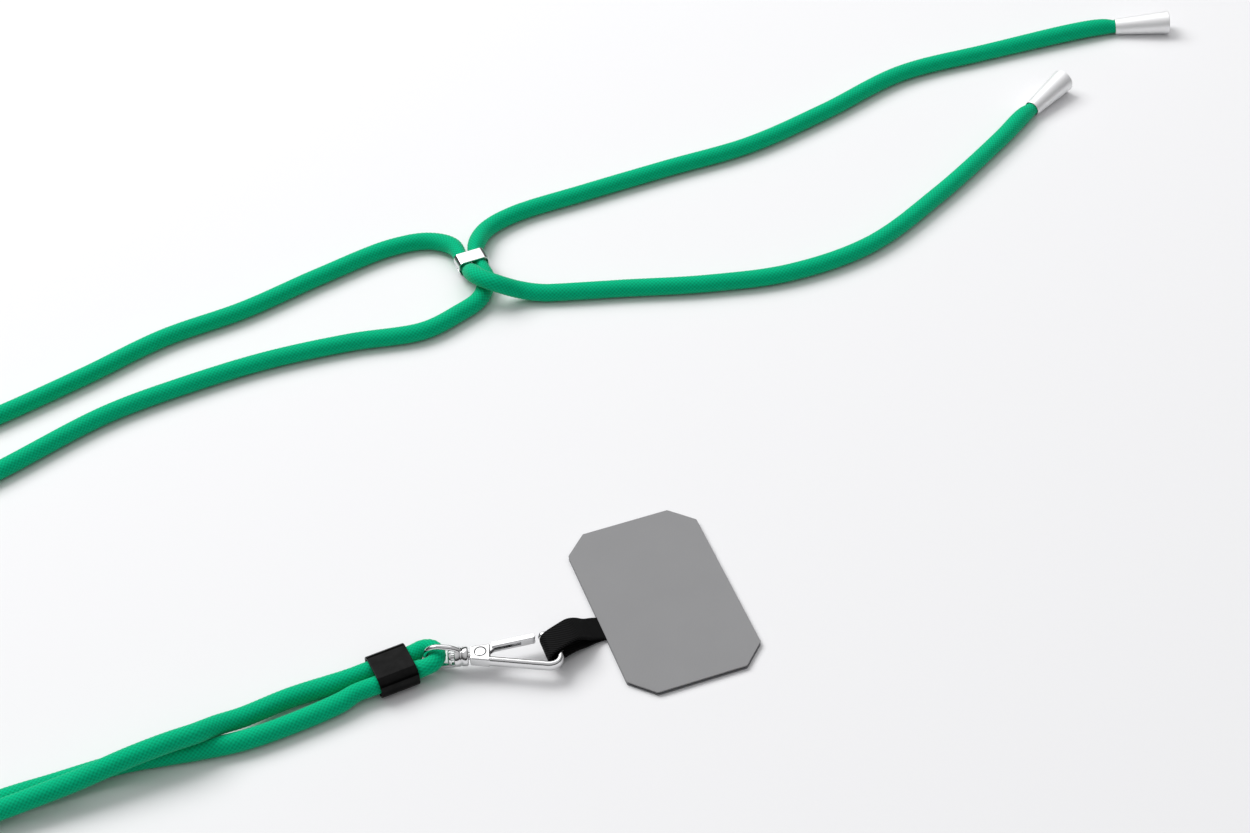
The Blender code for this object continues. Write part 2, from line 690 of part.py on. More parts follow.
def make_patch(grey, dark):
    pivot = (-PATCH_WIDTH / 2, 0, 0)
    core_low = BACK_THICK + LAYER_GAP
    face_low = core_low + CORE_THICK + LAYER_GAP
    add_solid("patch_back", prism(patch_outline(), 0, BACK_THICK), dark, PATCH_FRAME, pivot)
    core = add_solid(
        "patch_core", prism(patch_outline(CORE_INSET), core_low, core_low + CORE_THICK), dark, PATCH_FRAME, pivot
    )
    notch_half = TAB_WIDTH / 2 + NOTCH_CLEAR
    notch = box_outline(
        TAB_ENTRY[0] - 1, TAB_ENTRY[0] + TAB_TAIL + NOTCH_CLEAR, TAB_ENTRY[1] - notch_half, TAB_ENTRY[1] + notch_half
    )
    combine(core, prism(notch, core_low - 1, core_low + CORE_THICK + 1), "DIFFERENCE", PATCH_FRAME)
    add_solid("patch_face", prism(patch_outline(), face_low, face_low + FACE_THICK), grey, PATCH_FRAME, pivot)


def main():
    clear_scene()
    green = make_material("green_braid", (0.0, 0.35, 0.17), 0.75, 0.0)
    silver = make_material("satin_silver", (0.75, 0.75, 0.76), 0.25, 1.0)
    chrome = make_material("polished_nickel", (0.8, 0.8, 0.81), 0.12, 1.0)
    black_gloss = make_material("black_gloss", (0.012, 0.012, 0.013), 0.15, 0.0)
    black_tape = make_material("black_webbing", (0.02, 0.02, 0.021), 0.8, 0.0)
    grey_cloth = make_material("grey_cloth", (0.33, 0.34, 0.35), 0.75, 0.0)
    grey_film = make_material("grey_film", (0.16, 0.165, 0.17), 0.5, 0.0)
    make_cord(green)
    for end in CAP_MOUTHS:
        make_end_cap(end, silver)
        make_end_plug(end, silver)
    make_strand_clamp(chrome)
    make_keeper_sleeve(black_gloss)
    make_swivel_eye(chrome)
    make_swivel_post(chrome)
    make_hook_frame(chrome)
    make_gate_rivet(chrome)
    make_gate_lever(chrome)
    make_gate_spring(chrome)
    make_tab_webbing(black_tape)
    make_patch(grey_cloth, grey_film)


main()
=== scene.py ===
# %% [markdown]
# # A cord lanyard with a swivel hook and a tether patch
# The solids that hold the sizes and the motion come ready-made as a frame. Everything seen here is
# built around them, in metres, and rides on their bodies. We keep the frame's box, because the
# finished pieces must fill the same space.

# %% Load the frame
import math

import bmesh
import bpy
import numpy as np
from mathutils import Matrix, Vector


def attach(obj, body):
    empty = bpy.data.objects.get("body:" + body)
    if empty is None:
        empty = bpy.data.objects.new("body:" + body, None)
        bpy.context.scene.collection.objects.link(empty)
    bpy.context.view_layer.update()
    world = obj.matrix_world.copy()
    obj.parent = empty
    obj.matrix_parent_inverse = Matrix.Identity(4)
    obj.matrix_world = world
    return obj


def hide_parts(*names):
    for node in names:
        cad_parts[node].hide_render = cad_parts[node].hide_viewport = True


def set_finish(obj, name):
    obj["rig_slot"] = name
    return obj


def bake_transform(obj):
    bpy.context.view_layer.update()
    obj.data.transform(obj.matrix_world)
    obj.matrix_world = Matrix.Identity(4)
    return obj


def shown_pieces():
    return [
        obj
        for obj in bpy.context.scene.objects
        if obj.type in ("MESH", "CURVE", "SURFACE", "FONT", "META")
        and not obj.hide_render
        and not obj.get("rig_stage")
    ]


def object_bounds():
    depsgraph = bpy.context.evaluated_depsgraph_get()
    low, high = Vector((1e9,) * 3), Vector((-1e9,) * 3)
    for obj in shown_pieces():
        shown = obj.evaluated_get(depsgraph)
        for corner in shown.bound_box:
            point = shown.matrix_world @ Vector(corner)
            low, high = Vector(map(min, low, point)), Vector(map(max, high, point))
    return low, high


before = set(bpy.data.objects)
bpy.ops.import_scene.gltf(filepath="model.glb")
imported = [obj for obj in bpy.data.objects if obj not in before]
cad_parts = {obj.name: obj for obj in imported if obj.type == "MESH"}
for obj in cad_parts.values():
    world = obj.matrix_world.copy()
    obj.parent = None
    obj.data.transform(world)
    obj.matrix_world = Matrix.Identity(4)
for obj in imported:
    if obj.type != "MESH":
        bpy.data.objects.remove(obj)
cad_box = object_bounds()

MM = 0.001
print("frame box, mm:", [round(side / MM, 1) for side in cad_box[1] - cad_box[0]])

# %% [markdown]
# ## Camera
# A lanyard on a table is looked down on at an angle, from far enough away that a 70 mm lens takes it
# in. The camera stands half a metre above the table, in front of the hook, and leans 3.3 degrees.

# %% Camera
def in_scene(name, data):
    """A new object in the scene, made from its data."""
    obj = bpy.data.objects.new(name, data)
    bpy.context.scene.collection.objects.link(obj)
    return obj


CAMERA_PLACE = (-0.0075, -0.4467, 0.503)
LOOK_DOWN = math.radians(44.0)
LEAN = math.radians(-3.3)

lens = bpy.data.cameras.new("camera")
lens.lens = 70.0
lens.sensor_width = 36.0
lens.clip_end = 20.0
camera = in_scene("camera", lens)
tilt = Matrix.Rotation(math.pi / 2 - LOOK_DOWN, 4, "X")
camera.matrix_world = Matrix.Translation(CAMERA_PLACE) @ tilt @ Matrix.Rotation(LEAN, 4, "Z")
bpy.context.scene.camera = camera
print("camera above the table, mm:", round(CAMERA_PLACE[2] / MM))

# %% [markdown]
# ## The cord's route
# The cord is one length of round braid. It leaves one cone end, runs through the clamp, turns back
# far out on the left, passes through the keeper, round the swivel's eye and back, and ends in the
# second cone. A list of places that it really goes through is enough: a smooth curve joins them.
# Each place has the cord's radius too, because the clamp, the keeper and the cones squeeze it.

# %% Frames of the fittings that the cord passes through
CORD_RADIUS = 0.0028
LYING = 0.00285
SQUEEZED = 0.0022
CLAMPED = 0.00212
SLEEVED = 0.00255
BENT = 0.00235
CAP_LENGTH = 0.0185
CORD_DEPTH = 0.0156
KEEPER_HEIGHT = 0.0072
CLAMP_SPREAD = 0.0023
PATCH_YAW = math.radians(17.3)


def frame_at(place, yaw=0.0):
    return Matrix.Translation(place) @ Matrix.Rotation(yaw, 4, "Z")


def axis_frame(place, heading):
    """A frame whose x axis points along the heading."""
    along = Vector(heading).normalized()
    side = Vector((0, 0, 1)).cross(along).normalized()
    turn = Matrix((along, side, along.cross(side))).transposed().to_4x4()
    return Matrix.Translation(place) @ turn


CLAMP_FRAME = frame_at((-0.0532, 0.144, 0.0044), math.radians(-70.0))
KEEPER_FRAME = frame_at((-0.0737, -0.0223, 0.00002), math.radians(23.0))
HOOK_FRAME = frame_at((-0.055, -0.020, 0.005))
PATCH_FRAME = frame_at((0, 0, 0), PATCH_YAW)
CAP_FRAMES = {
    "a": axis_frame((0.1716, 0.2533, 0.00275), (17.7, -0.8, 1.2)),
    "b": axis_frame((0.1353, 0.2089, 0.00275), (13.2, 13.8, 1.3)),
}


def in_cap(end, depth, radius):
    return (*(CAP_FRAMES[end] @ Vector((depth, 0, 0))), radius)


def in_clamp(along, across):
    return (*(CLAMP_FRAME @ Vector((along, across, 0))), CLAMPED)


def in_keeper(along, across):
    return (*(KEEPER_FRAME @ Vector((along, across, KEEPER_HEIGHT / 2))), SLEEVED)


# %% The places along the cord
def full(place):
    """A place is x and y, then z where the cord doesn't lie flat, then the radius where it is squeezed."""
    return (*place, *(LYING, CORD_RADIUS)[len(place) - 2 :])


ROUTE = [full(place) for place in [
    in_cap("a", CORD_DEPTH, SQUEEZED), in_cap("a", 0.0005, SQUEEZED),
    (0.167, 0.2534), (0.123, 0.242), (0.094, 0.233), (0.066, 0.214), (0.039, 0.198), (0.011, 0.188),
    (-0.016, 0.178), (-0.04, 0.1685), (-0.0486, 0.1615, 0.0031), (-0.0518, 0.1535, 0.0039),
    in_clamp(-0.0033, CLAMP_SPREAD), in_clamp(0.0033, CLAMP_SPREAD),
    (-0.0487, 0.1374, 0.0034), (-0.049, 0.1332, 0.0029), (-0.0512, 0.1273), (-0.0572, 0.1217),
    (-0.068, 0.1145), (-0.091, 0.111), (-0.116, 0.105), (-0.14, 0.096), (-0.163, 0.085),
    (-0.1919, 0.0639), (-0.221, 0.044), (-0.241, 0.024), (-0.249, -0.004), (-0.241, -0.034),
    (-0.22, -0.055), (-0.193, -0.062), (-0.1654, -0.0548), (-0.144, -0.0481), (-0.1252, -0.0452),
    (-0.1128, -0.0428), (-0.1004, -0.0382), (-0.0875, -0.0321, 0.0031),
    in_keeper(-0.0116, -0.00285), in_keeper(-0.0064, -0.00285), in_keeper(0.0062, -0.00285),
    (-0.0649, -0.0227, 0.0046, BENT), (-0.0627, -0.0218, 0.005, BENT), (-0.0615, -0.0193, 0.005, BENT),
    (-0.0627, -0.0167, 0.005, BENT), (-0.0653, -0.0158, 0.0045, BENT),
    in_keeper(0.0062, 0.00285), in_keeper(-0.0064, 0.00285), in_keeper(-0.0113, 0.00285),
    (-0.0895, -0.0256, 0.0033), (-0.1009, -0.0297, 0.0035), (-0.1129, -0.0363, 0.0046),
    (-0.119, -0.0396, 0.006), (-0.1247, -0.044, 0.0082), (-0.1305, -0.0464, 0.0086),
    (-0.14, -0.05, 0.0081), (-0.1549, -0.0561, 0.0066), (-0.1732, -0.0627, 0.0052),
    (-0.192, -0.0692, 0.004), (-0.218, -0.0735, 0.003), (-0.247, -0.065), (-0.269, -0.04),
    (-0.277, -0.008), (-0.27, 0.026), (-0.25, 0.054), (-0.224, 0.0715), (-0.1954, 0.0875),
    (-0.171, 0.103), (-0.149, 0.118), (-0.125, 0.129), (-0.102, 0.143), (-0.079, 0.1555),
    (-0.067, 0.1575), (-0.0596, 0.1535, 0.0036),
    in_clamp(-0.0033, -CLAMP_SPREAD), in_clamp(0.0033, -CLAMP_SPREAD),
    (-0.053, 0.1366, 0.0066), (-0.0509, 0.1324, 0.0084), (-0.0465, 0.1294, 0.0083),
    (-0.0381, 0.1296, 0.0042), (-0.03, 0.129), (-0.006, 0.129), (0.021, 0.129), (0.047, 0.132),
    (0.073, 0.143), (0.098, 0.166), (0.122, 0.193), (0.132, 0.2055),
    in_cap("b", 0.0005, SQUEEZED), in_cap("b", CORD_DEPTH, SQUEEZED),
]]


def smooth_curve(places, spacing):
    """Rows evenly spaced along a centripetal Catmull-Rom curve through the places, and its length."""
    knots = np.array(places, float)
    knots = np.vstack([2 * knots[0] - knots[1], knots, 2 * knots[-1] - knots[-2]])
    rows = []
    for p0, p1, p2, p3 in zip(knots, knots[1:], knots[2:], knots[3:]):
        t1 = np.linalg.norm(p1 - p0) ** 0.5
        t2 = t1 + np.linalg.norm(p2 - p1) ** 0.5
        t3 = t2 + np.linalg.norm(p3 - p2) ** 0.5
        count = max(4, int(np.linalg.norm(p2 - p1) / spacing * 2))
        t = np.linspace(t1, t2, count, endpoint=False)[:, None]
        a1 = p0 * (t1 - t) / t1 + p1 * t / t1
        a2 = p1 * (t2 - t) / (t2 - t1) + p2 * (t - t1) / (t2 - t1)
        a3 = p2 * (t3 - t) / (t3 - t2) + p3 * (t - t2) / (t3 - t2)
        b1 = a1 * (t2 - t) / t2 + a2 * t / t2
        b2 = a2 * (t3 - t) / (t3 - t1) + a3 * (t - t1) / (t3 - t1)
        rows.append(b1 * (t2 - t) / (t2 - t1) + b2 * (t - t1) / (t2 - t1))
    rows = np.vstack([*rows, knots[-2:-1]])
    reach = np.r_[0, np.cumsum(np.linalg.norm(np.diff(rows[:, :3], axis=0), axis=1))]
    even = np.linspace(0, reach[-1], int(round(reach[-1] / spacing)) + 1)
    return np.stack([np.interp(even, reach, column) for column in rows.T], axis=1), reach[-1]


BRAID_CELL = 0.00125  # length of one crossing of the braid's yarns
BRAID_CELLS_ROUND = 14
ON_TABLE = 0.00002  # the gap left under a lying cord
cord_rows, cord_length = smooth_curve(ROUTE, BRAID_CELL / 2)
cord_rows[:, 2] = np.maximum(cord_rows[:, 2], cord_rows[:, 3] + ON_TABLE)
print("cord length, mm:", round(cord_length / MM), "rows:", len(cord_rows))

# %% [markdown]
# ## Everything that follows a path
# The cord's braided cover, the swivel's ring and the gate's spring are all a round section carried
# along a path, so one Geometry Nodes tree makes them. The path comes in as a line of points that
# knows its radius, its distance along and its number. A braid is two families of yarn that wind
# opposite ways and cross over and under: seen from outside, a lattice of small pillows. The tree
# models it by pushing every second point inwards, chequered. It writes the distance along and the
# way round as a map for the fine yarn in the material.


# %% The sweep tree
def add_node(tree, kind, settings=(), inputs=()):
    """Adds a node, its settings first. An input's value can be another node's output."""
    made = tree.nodes.new(kind)
    for key, value in dict(settings).items():
        setattr(made, key, value)
    for key, value in dict(inputs).items():
        named = (i for i in made.inputs if i.name == key and i.enabled)
        socket = made.inputs[key] if isinstance(key, int) else next(named)
        if isinstance(value, bpy.types.NodeSocket):
            tree.links.new(value, socket)
        else:
            socket.default_value = value
    return made


def sweep_tree():
    tree = bpy.data.node_groups.new("Sweep", "GeometryNodeTree")
    wanted = {"Path": "Geometry", "Sides": "Int", "Relief": "Float", "Finish": "Material"}
    for name, kind in wanted.items():
        tree.interface.new_socket(name, in_out="INPUT", socket_type=f"NodeSocket{kind}")
    tree.interface.new_socket("Mesh", in_out="OUTPUT", socket_type="NodeSocketGeometry")
    given = tree.nodes.new("NodeGroupInput").outputs

    def stored(name, kind="FLOAT"):
        made = add_node(tree, "GeometryNodeInputNamedAttribute", {"data_type": kind}, {"Name": name})
        return next(o for o in made.outputs if o.name == "Attribute" and o.enabled)

    def maths(operation, first, second):
        return add_node(tree, "ShaderNodeMath", {"operation": operation}, {0: first, 1: second}).outputs[0]

    def vectors(operation, inputs):
        return add_node(tree, "ShaderNodeVectorMath", {"operation": operation}, inputs).outputs[0]

    line = add_node(tree, "GeometryNodeMeshToCurve", (), {"Mesh": given["Path"]}).outputs[0]
    line = add_node(tree, "GeometryNodeSetCurveNormal", {"mode": "Z_UP"}, {"Curve": line}).outputs[0]
    circle = add_node(tree, "GeometryNodeCurveArc", (), {
        "Resolution": maths("ADD", given["Sides"], 1.0), "Radius": 1.0, "Sweep Angle": 2 * math.pi,
    }).outputs[0]
    number = tree.nodes.new("GeometryNodeInputIndex").outputs[0]
    circle = add_node(
        tree, "GeometryNodeStoreNamedAttribute", {"data_type": "FLOAT", "domain": "POINT"},
        {"Geometry": circle, "Name": "around", "Value": number},
    ).outputs[0]
    section = {"Curve": line, "Profile Curve": circle, "Scale": stored("radius")}
    tube = add_node(tree, "GeometryNodeCurveToMesh", (), section).outputs[0]
    turn = maths("DIVIDE", stored("around"), given["Sides"])
    place = add_node(tree, "ShaderNodeCombineXYZ", (), {"X": stored("along"), "Y": turn}).outputs[0]
    tube = add_node(
        tree, "GeometryNodeStoreNamedAttribute", {"data_type": "FLOAT2", "domain": "CORNER"},
        {"Geometry": tube, "Name": "UVMap", "Value": place},
    ).outputs[0]
    point = tree.nodes.new("GeometryNodeInputPosition").outputs[0]
    outwards = vectors("SUBTRACT", {0: point, 1: stored("centre", "FLOAT_VECTOR")})
    odd = maths("MODULO", maths("ADD", stored("ring"), stored("around")), 2.0)
    inwards = maths("MULTIPLY", maths("MULTIPLY", odd, given["Relief"]), -1.0)
    push = vectors("SCALE", {0: vectors("NORMALIZE", {0: outwards}), "Scale": inwards})
    tube = add_node(tree, "GeometryNodeSetPosition", (), {"Geometry": tube, "Offset": push}).outputs[0]
    last = {"MergeByDistance": {"Distance": 1e-6}, "RealizeInstances": {}}
    last["SetMaterial"] = {"Material": given["Finish"]}
    for kind, more in last.items():
        tube = add_node(tree, f"GeometryNode{kind}", (), {"Geometry": tube, **more}).outputs[0]
    tree.links.new(tube, tree.nodes.new("NodeGroupOutput").inputs["Mesh"])
    return tree


SWEEP = sweep_tree()

# %% Use the tree on a path
def evaluated(mesh, build):
    """A new mesh: the given one with the modifiers that build() adds. build() returns its helpers."""
    rough = in_scene(mesh.name, mesh)
    helpers = build(rough) or []
    depsgraph = bpy.context.evaluated_depsgraph_get()
    depsgraph.update()
    done = bpy.data.meshes.new_from_object(rough.evaluated_get(depsgraph), depsgraph=depsgraph)
    for obj in [rough, *helpers]:
        bpy.data.objects.remove(obj)
    return done


def face_outwards(bm):
    bmesh.ops.recalc_face_normals(bm, faces=bm.faces)
    if bm.calc_volume(signed=True) < 0:
        bmesh.ops.reverse_faces(bm, faces=bm.faces)


def swept(name, path, sides, relief=0.0):
    """A closed tube along a path, an array of x, y, z and radius."""
    path = np.array(path, float)
    line = bpy.data.meshes.new(name)
    line.from_pydata(path[:, :3].tolist(), [(k, k + 1) for k in range(len(path) - 1)], [])
    along = np.r_[0, np.cumsum(np.linalg.norm(np.diff(path[:, :3], axis=0), axis=1))]
    for key, values in (("radius", path[:, 3]), ("along", along), ("ring", np.arange(len(path)))):
        line.attributes.new(key, "FLOAT", "POINT").data.foreach_set("value", values.astype(np.float32))
    centre = line.attributes.new("centre", "FLOAT_VECTOR", "POINT")
    centre.data.foreach_set("vector", path[:, :3].astype(np.float32).ravel())

    def add_tree(obj):
        modifier = obj.modifiers.new("sweep", "NODES")
        modifier.node_group = SWEEP
        sockets = {item.name: item.identifier for item in SWEEP.interface.items_tree}
        modifier[sockets["Sides"]] = sides
        modifier[sockets["Relief"]] = relief

    tube = evaluated(line, add_tree)
    bm = bmesh.new()
    bm.from_mesh(tube)
    bmesh.ops.holes_fill(bm, edges=[e for e in bm.edges if e.is_boundary])
    face_outwards(bm)
    bm.to_mesh(tube)
    bm.free()
    for key in ("radius", "along", "ring", "around", "centre"):
        if key in tube.attributes:
            tube.attributes.remove(tube.attributes[key])
    tube.materials.clear()
    tube.shade_smooth()
    return tube


def add_piece(name, mesh, body, slot, *replaced):
    """A finished piece. It rides on the body, unless body is None."""
    mesh.name = name
    piece = in_scene(name, mesh)
    if body:
        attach(piece, body)
    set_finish(piece, slot)
    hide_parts(*replaced)
    return piece


# %% The cord
PILLOW = 0.00011  # how far the braid's dips are below its pillows

cord_mesh = swept("braided_cord", cord_rows, 2 * BRAID_CELLS_ROUND, PILLOW)
cord = add_piece("braided_cord", cord_mesh, "lanyard", "green_braid", "cord")
lowest = min(vertex.co.z for vertex in cord_mesh.vertices)
print("cord faces:", len(cord_mesh.polygons), "lowest point, mm:", round(lowest / MM, 3))

# %% [markdown]
# ## Turned pieces
# The cone ends, their plugs, the swivel's collar and its post are all round, so each is a profile
# carried round an axis. The profiles have small rounded lips, because a real edge is never sharp and
# a bright metal shows it.


# %% Turn a profile about the x axis
def bridge(bm, first, second):
    """Faces between two rings of the same count. Where a ring is one point, they are triangles."""
    for k in range(len(first)):
        nxt = (k + 1) % len(first)
        corners = dict.fromkeys((first[k], first[nxt], second[nxt], second[k]))
        if len(corners) > 2:
            bm.faces.new(list(corners))


def turned(profile, sides, closed, dent=None):
    """A shape from (x, radius) points. A dent is a function of the angle that scales the radius."""
    bm = bmesh.new()
    angles = [2 * math.pi * k / sides for k in range(sides)]
    scale = [1.0 if dent is None else dent(a) for a in angles]
    rings = []
    for x, radius in profile:
        if radius == 0:
            rings.append([bm.verts.new((x, 0, 0))] * sides)
            continue
        turn = ((radius * s * math.cos(a), radius * s * math.sin(a)) for a, s in zip(angles, scale))
        rings.append([bm.verts.new((x, *place)) for place in turn])
    for first, second in zip(rings, rings[1:] + rings[:1] if closed else rings[1:]):
        bridge(bm, first, second)
    return bm


def arc_points(middle, radius, start, end, steps):
    """Points (x, y) on an arc, its angles in degrees."""
    turns = (math.radians(start + (end - start) * k / steps) for k in range(steps + 1))
    return [(middle[0] + radius * math.cos(a), middle[1] + radius * math.sin(a)) for a in turns]


def shaded(mesh, sharp=38.0):
    """Smooth up to the given angle, with large flat faces kept flat."""
    mesh.shade_smooth()
    mesh.set_sharp_from_angle(angle=math.radians(sharp))

    def weigh(obj):
        modifier = obj.modifiers.new("flat faces stay flat", "WEIGHTED_NORMAL")
        modifier.weight = 100
        modifier.keep_sharp = True

    return evaluated(mesh, weigh)


def to_mesh(name, bm, place=Matrix(), sharp=35.0):
    """Places the shape, turns its faces outwards and shades it."""
    bmesh.ops.transform(bm, matrix=place, verts=bm.verts)
    face_outwards(bm)
    mesh = bpy.data.meshes.new(name)
    bm.to_mesh(mesh)
    bm.free()
    return shaded(mesh, sharp)


# %% [markdown]
# ## Cone ends
# Each end of the cord is glued into a thin drawn cone of silver-plated metal. A fine seam runs
# along it where its sheet was rolled together, and a turned disc closes the wide end.

# %% Cone ends and plugs
MOUTH_RADIUS = 0.0027
WIDE_RADIUS = 0.00395
SEAM_AT = math.radians(55)
SEAM_DEPTH = 0.022
SEAM_WIDTH = 0.035
CAP_SIDES = 120


def seam(a):
    """A narrow lengthwise groove on the cone's shoulder."""
    off = (a - SEAM_AT + math.pi) % (2 * math.pi) - math.pi
    return 1 - SEAM_DEPTH * math.exp(-((off / SEAM_WIDTH) ** 2))


def cone_profile():
    lip = 0.00012
    slope = (WIDE_RADIUS - MOUTH_RADIUS) / CAP_LENGTH
    parts = [k / 6 for k in range(7)]
    outside = [(lip + (CAP_LENGTH - 3 * lip) * t, MOUTH_RADIUS + slope * CAP_LENGTH * t) for t in parts]
    mouth = [(0.0022, 0.00255), (0.0004, 0.00245), (0.0001, 0.0025), (0, 0.0026)]
    wide = [(CAP_LENGTH - lip, WIDE_RADIUS - 0.00006), (CAP_LENGTH, WIDE_RADIUS - 0.00018)]
    inside = [(CAP_LENGTH, 0.0036), (CAP_LENGTH - 0.0003, 0.0035), (CAP_LENGTH - 0.002, 0.00338)]
    return mouth + outside + wide + inside


def plug_profile():
    front, back, radius = 0.0163, 0.0179, 0.0032
    rim = arc_points((back - 0.0003, radius - 0.0003), 0.0003, 90, 0, 4)
    dish = [(back - 0.0001, radius * 0.75), (back - 0.0003, radius * 0.6), (back - 0.0003, 0)]
    return [(front, 0), (front, radius), *rim, *dish]


for end, place in CAP_FRAMES.items():
    cone = to_mesh(f"cone_end_{end}", turned(cone_profile(), CAP_SIDES, True, seam), place)
    add_piece(f"cone_end_{end}", cone, "lanyard", "satin_silver", f"end_cap_{end}")
    plug = to_mesh(f"cone_plug_{end}", turned(plug_profile(), 64, False), place)
    add_piece(f"cone_plug_{end}", plug, "lanyard", "satin_silver", f"end_plug_{end}")
print("cone ends: 2, plugs: 2")

# %% [markdown]
# ## Bent strips: the clamp and the keeper
# The clamp is a strip of metal bent round the two strands, its ends lapped on one side. The keeper
# is a wider sleeve with rounded sides. Both are an outline carried along the strands. The clamp's
# outline is open, so that its lap is real; a Bevel modifier rounds the edges.


# %% Outlines
SHARP = math.radians(40)  # an edge that turns more than this is rounded


def rounded(corners, steps=6):
    """The closed outline with each corner (x, y, radius) replaced by an arc."""
    outline = []
    for i, (x, y, radius) in enumerate(corners):
        here = Vector((x, y))
        back = (Vector(corners[i - 1][:2]) - here).normalized()
        ahead = (Vector(corners[(i + 1) % len(corners)][:2]) - here).normalized()
        half = back.angle(ahead) / 2
        middle = here + (back + ahead).normalized() * radius / math.sin(half)
        first = here + back * radius / math.tan(half) - middle
        sweep = (here + ahead * radius / math.tan(half) - middle).angle_signed(first)
        for step in range(steps + 1):
            outline.append(middle + Matrix.Rotation(sweep * step / steps, 2) @ first)
    return outline


def prism(outline, low, high):
    bm = bmesh.new()
    face = bm.faces.new([bm.verts.new((x, y, low)) for x, y in outline])
    top = bmesh.ops.extrude_face_region(bm, geom=[face])["geom"]
    verts = [v for v in top if isinstance(v, bmesh.types.BMVert)]
    bmesh.ops.translate(bm, verts=verts, vec=(0, 0, high - low))
    return bm


def along_x(length):
    """Turns a shape made upwards along z so that it runs along x, its middle on the origin."""
    lift = Matrix.Translation((0, 0, -length / 2))
    return Matrix.Rotation(math.pi / 2, 4, "Z") @ Matrix.Rotation(math.pi / 2, 4, "X") @ lift


def with_modifiers(name, mesh, body, slot, replaced, build):
    """A piece from a mesh and the modifiers that build() puts on it, all applied."""
    return add_piece(name, shaded(evaluated(mesh, build)), body, slot, replaced)


def bevel(obj, width, segments=3):
    modifier = obj.modifiers.new("edges", "BEVEL")
    modifier.width = width
    modifier.segments = segments
    modifier.limit_method = "ANGLE"
    modifier.angle_limit = SHARP
    modifier.harden_normals = False


def boolean(obj, mesh, operation):
    helper = in_scene("helper", mesh)
    modifier = obj.modifiers.new(operation.lower(), "BOOLEAN")
    modifier.operation = operation
    modifier.object = helper
    return helper


# %% Strand clamp
def headings(line):
    """The unit direction of a flat line at each of its points."""
    ahead = np.gradient(line, axis=0)
    return ahead / np.linalg.norm(ahead, axis=1)[:, None]


CLAMP_LENGTH = 0.005
CLAMP_WIDTH = 0.0102
CLAMP_HEIGHT = 0.0057
CLAMP_CORNER = 0.0017
CLAMP_WALL = 0.0005
CLAMP_LAP = 0.0012


def strip_outline():
    """The strip's edge-on outline: once round both strands, the last of it over the first."""
    x = CLAMP_WIDTH / 2 - CLAMP_WALL / 2
    y = CLAMP_HEIGHT / 2 - CLAMP_WALL / 2
    corner = CLAMP_CORNER - CLAMP_WALL / 2
    line = [(-x, -CLAMP_LAP / 2)]
    line += arc_points((-x + corner, -y + corner), corner, 180, 270, 6)
    line += arc_points((x - corner, -y + corner), corner, 270, 360, 6)
    line += arc_points((x - corner, y - corner), corner, 0, 90, 6)
    line += arc_points((-x + corner, y - corner), corner, 90, 170, 6)
    line += [(-x - CLAMP_WALL * 0.25, CLAMP_LAP * 0.4), (-x - CLAMP_WALL * 0.3, CLAMP_LAP * 0.05)]
    line = np.array(line)
    ahead = headings(line)
    out = np.stack([ahead[:, 1], -ahead[:, 0]], axis=1) * CLAMP_WALL / 2
    return [Vector(p) for p in np.vstack([line + out, (line - out)[::-1]])]


strip = to_mesh("clamp_strip", prism(strip_outline(), 0, CLAMP_LENGTH), CLAMP_FRAME @ along_x(CLAMP_LENGTH))
with_modifiers(
    "clamp_strip", strip, "lanyard", "polished_nickel", "strand_clamp", lambda obj: bevel(obj, 0.00012)
)
print("clamp strip made")

# %% Keeper sleeve
KEEPER_LENGTH = 0.011
KEEPER_WIDTH = 0.0128
KEEPER_CORNER = 0.0031
KEEPER_WALL = 0.00075


def round_box(width, height, corner):
    x, y = width / 2, height / 2
    return rounded([(x, y, corner), (-x, y, corner), (-x, -y, corner), (x, -y, corner)], steps=12)


def sleeve_ring():
    wide, high, wall = KEEPER_WIDTH, KEEPER_HEIGHT, KEEPER_WALL
    outer = round_box(wide, high, KEEPER_CORNER)
    inner = round_box(wide - 2 * wall, high - 2 * wall, KEEPER_CORNER - wall)
    bm = bmesh.new()
    loops = [[bm.verts.new((*p, z)) for p in line] for line, z in (
        (outer, 0), (outer, KEEPER_LENGTH), (inner, KEEPER_LENGTH), (inner, 0)
    )]
    for first, second in zip(loops, loops[1:] + loops[:1]):
        bridge(bm, first, second)
    return bm


keeper_place = KEEPER_FRAME @ Matrix.Translation((0, 0, KEEPER_HEIGHT / 2)) @ along_x(KEEPER_LENGTH)
keeper_mesh = to_mesh("keeper", sleeve_ring(), keeper_place)
with_modifiers("keeper", keeper_mesh, "keeper", "black_gloss", "keeper_sleeve", lambda obj: bevel(obj, 0.00018))
print("keeper faces:", len(keeper_mesh.polygons))

# %% [markdown]
# ## The swivel
# The cord loops through an oval ring cast in one with a collar. A headed post turns in the collar
# and carries the hook. The ring is a wire along a path, joined to the turned collar.


# %% Flat curves and sections
def smooth_flat(points, spacing):
    """A smooth curve through flat points."""
    rows, _ = smooth_curve([(x, y, 0, 0) for x, y in points], spacing)
    return [(x, y) for x, y, _, _ in rows]


def oval_section(width, height, power=2.0, sides=24):
    """A superellipse: round at power 2, squarer above it."""
    found = []
    for k in range(sides):
        a = 2 * math.pi * k / sides
        c, s = math.cos(a), math.sin(a)
        found.append((
            math.copysign(abs(c) ** (2 / power), c) * width / 2,
            math.copysign(abs(s) ** (2 / power), s) * height / 2,
        ))
    return found


# %% Ring and collar
EYE_WIRE = 0.0015
EYE_RISE = 0.00385
EYE_REACH = 0.0099
EYE_YAW = math.radians(-4.5)
COLLAR_RADIUS = 0.0027
COLLAR_HALF = 0.0019
COLLAR_BORE = 0.0012


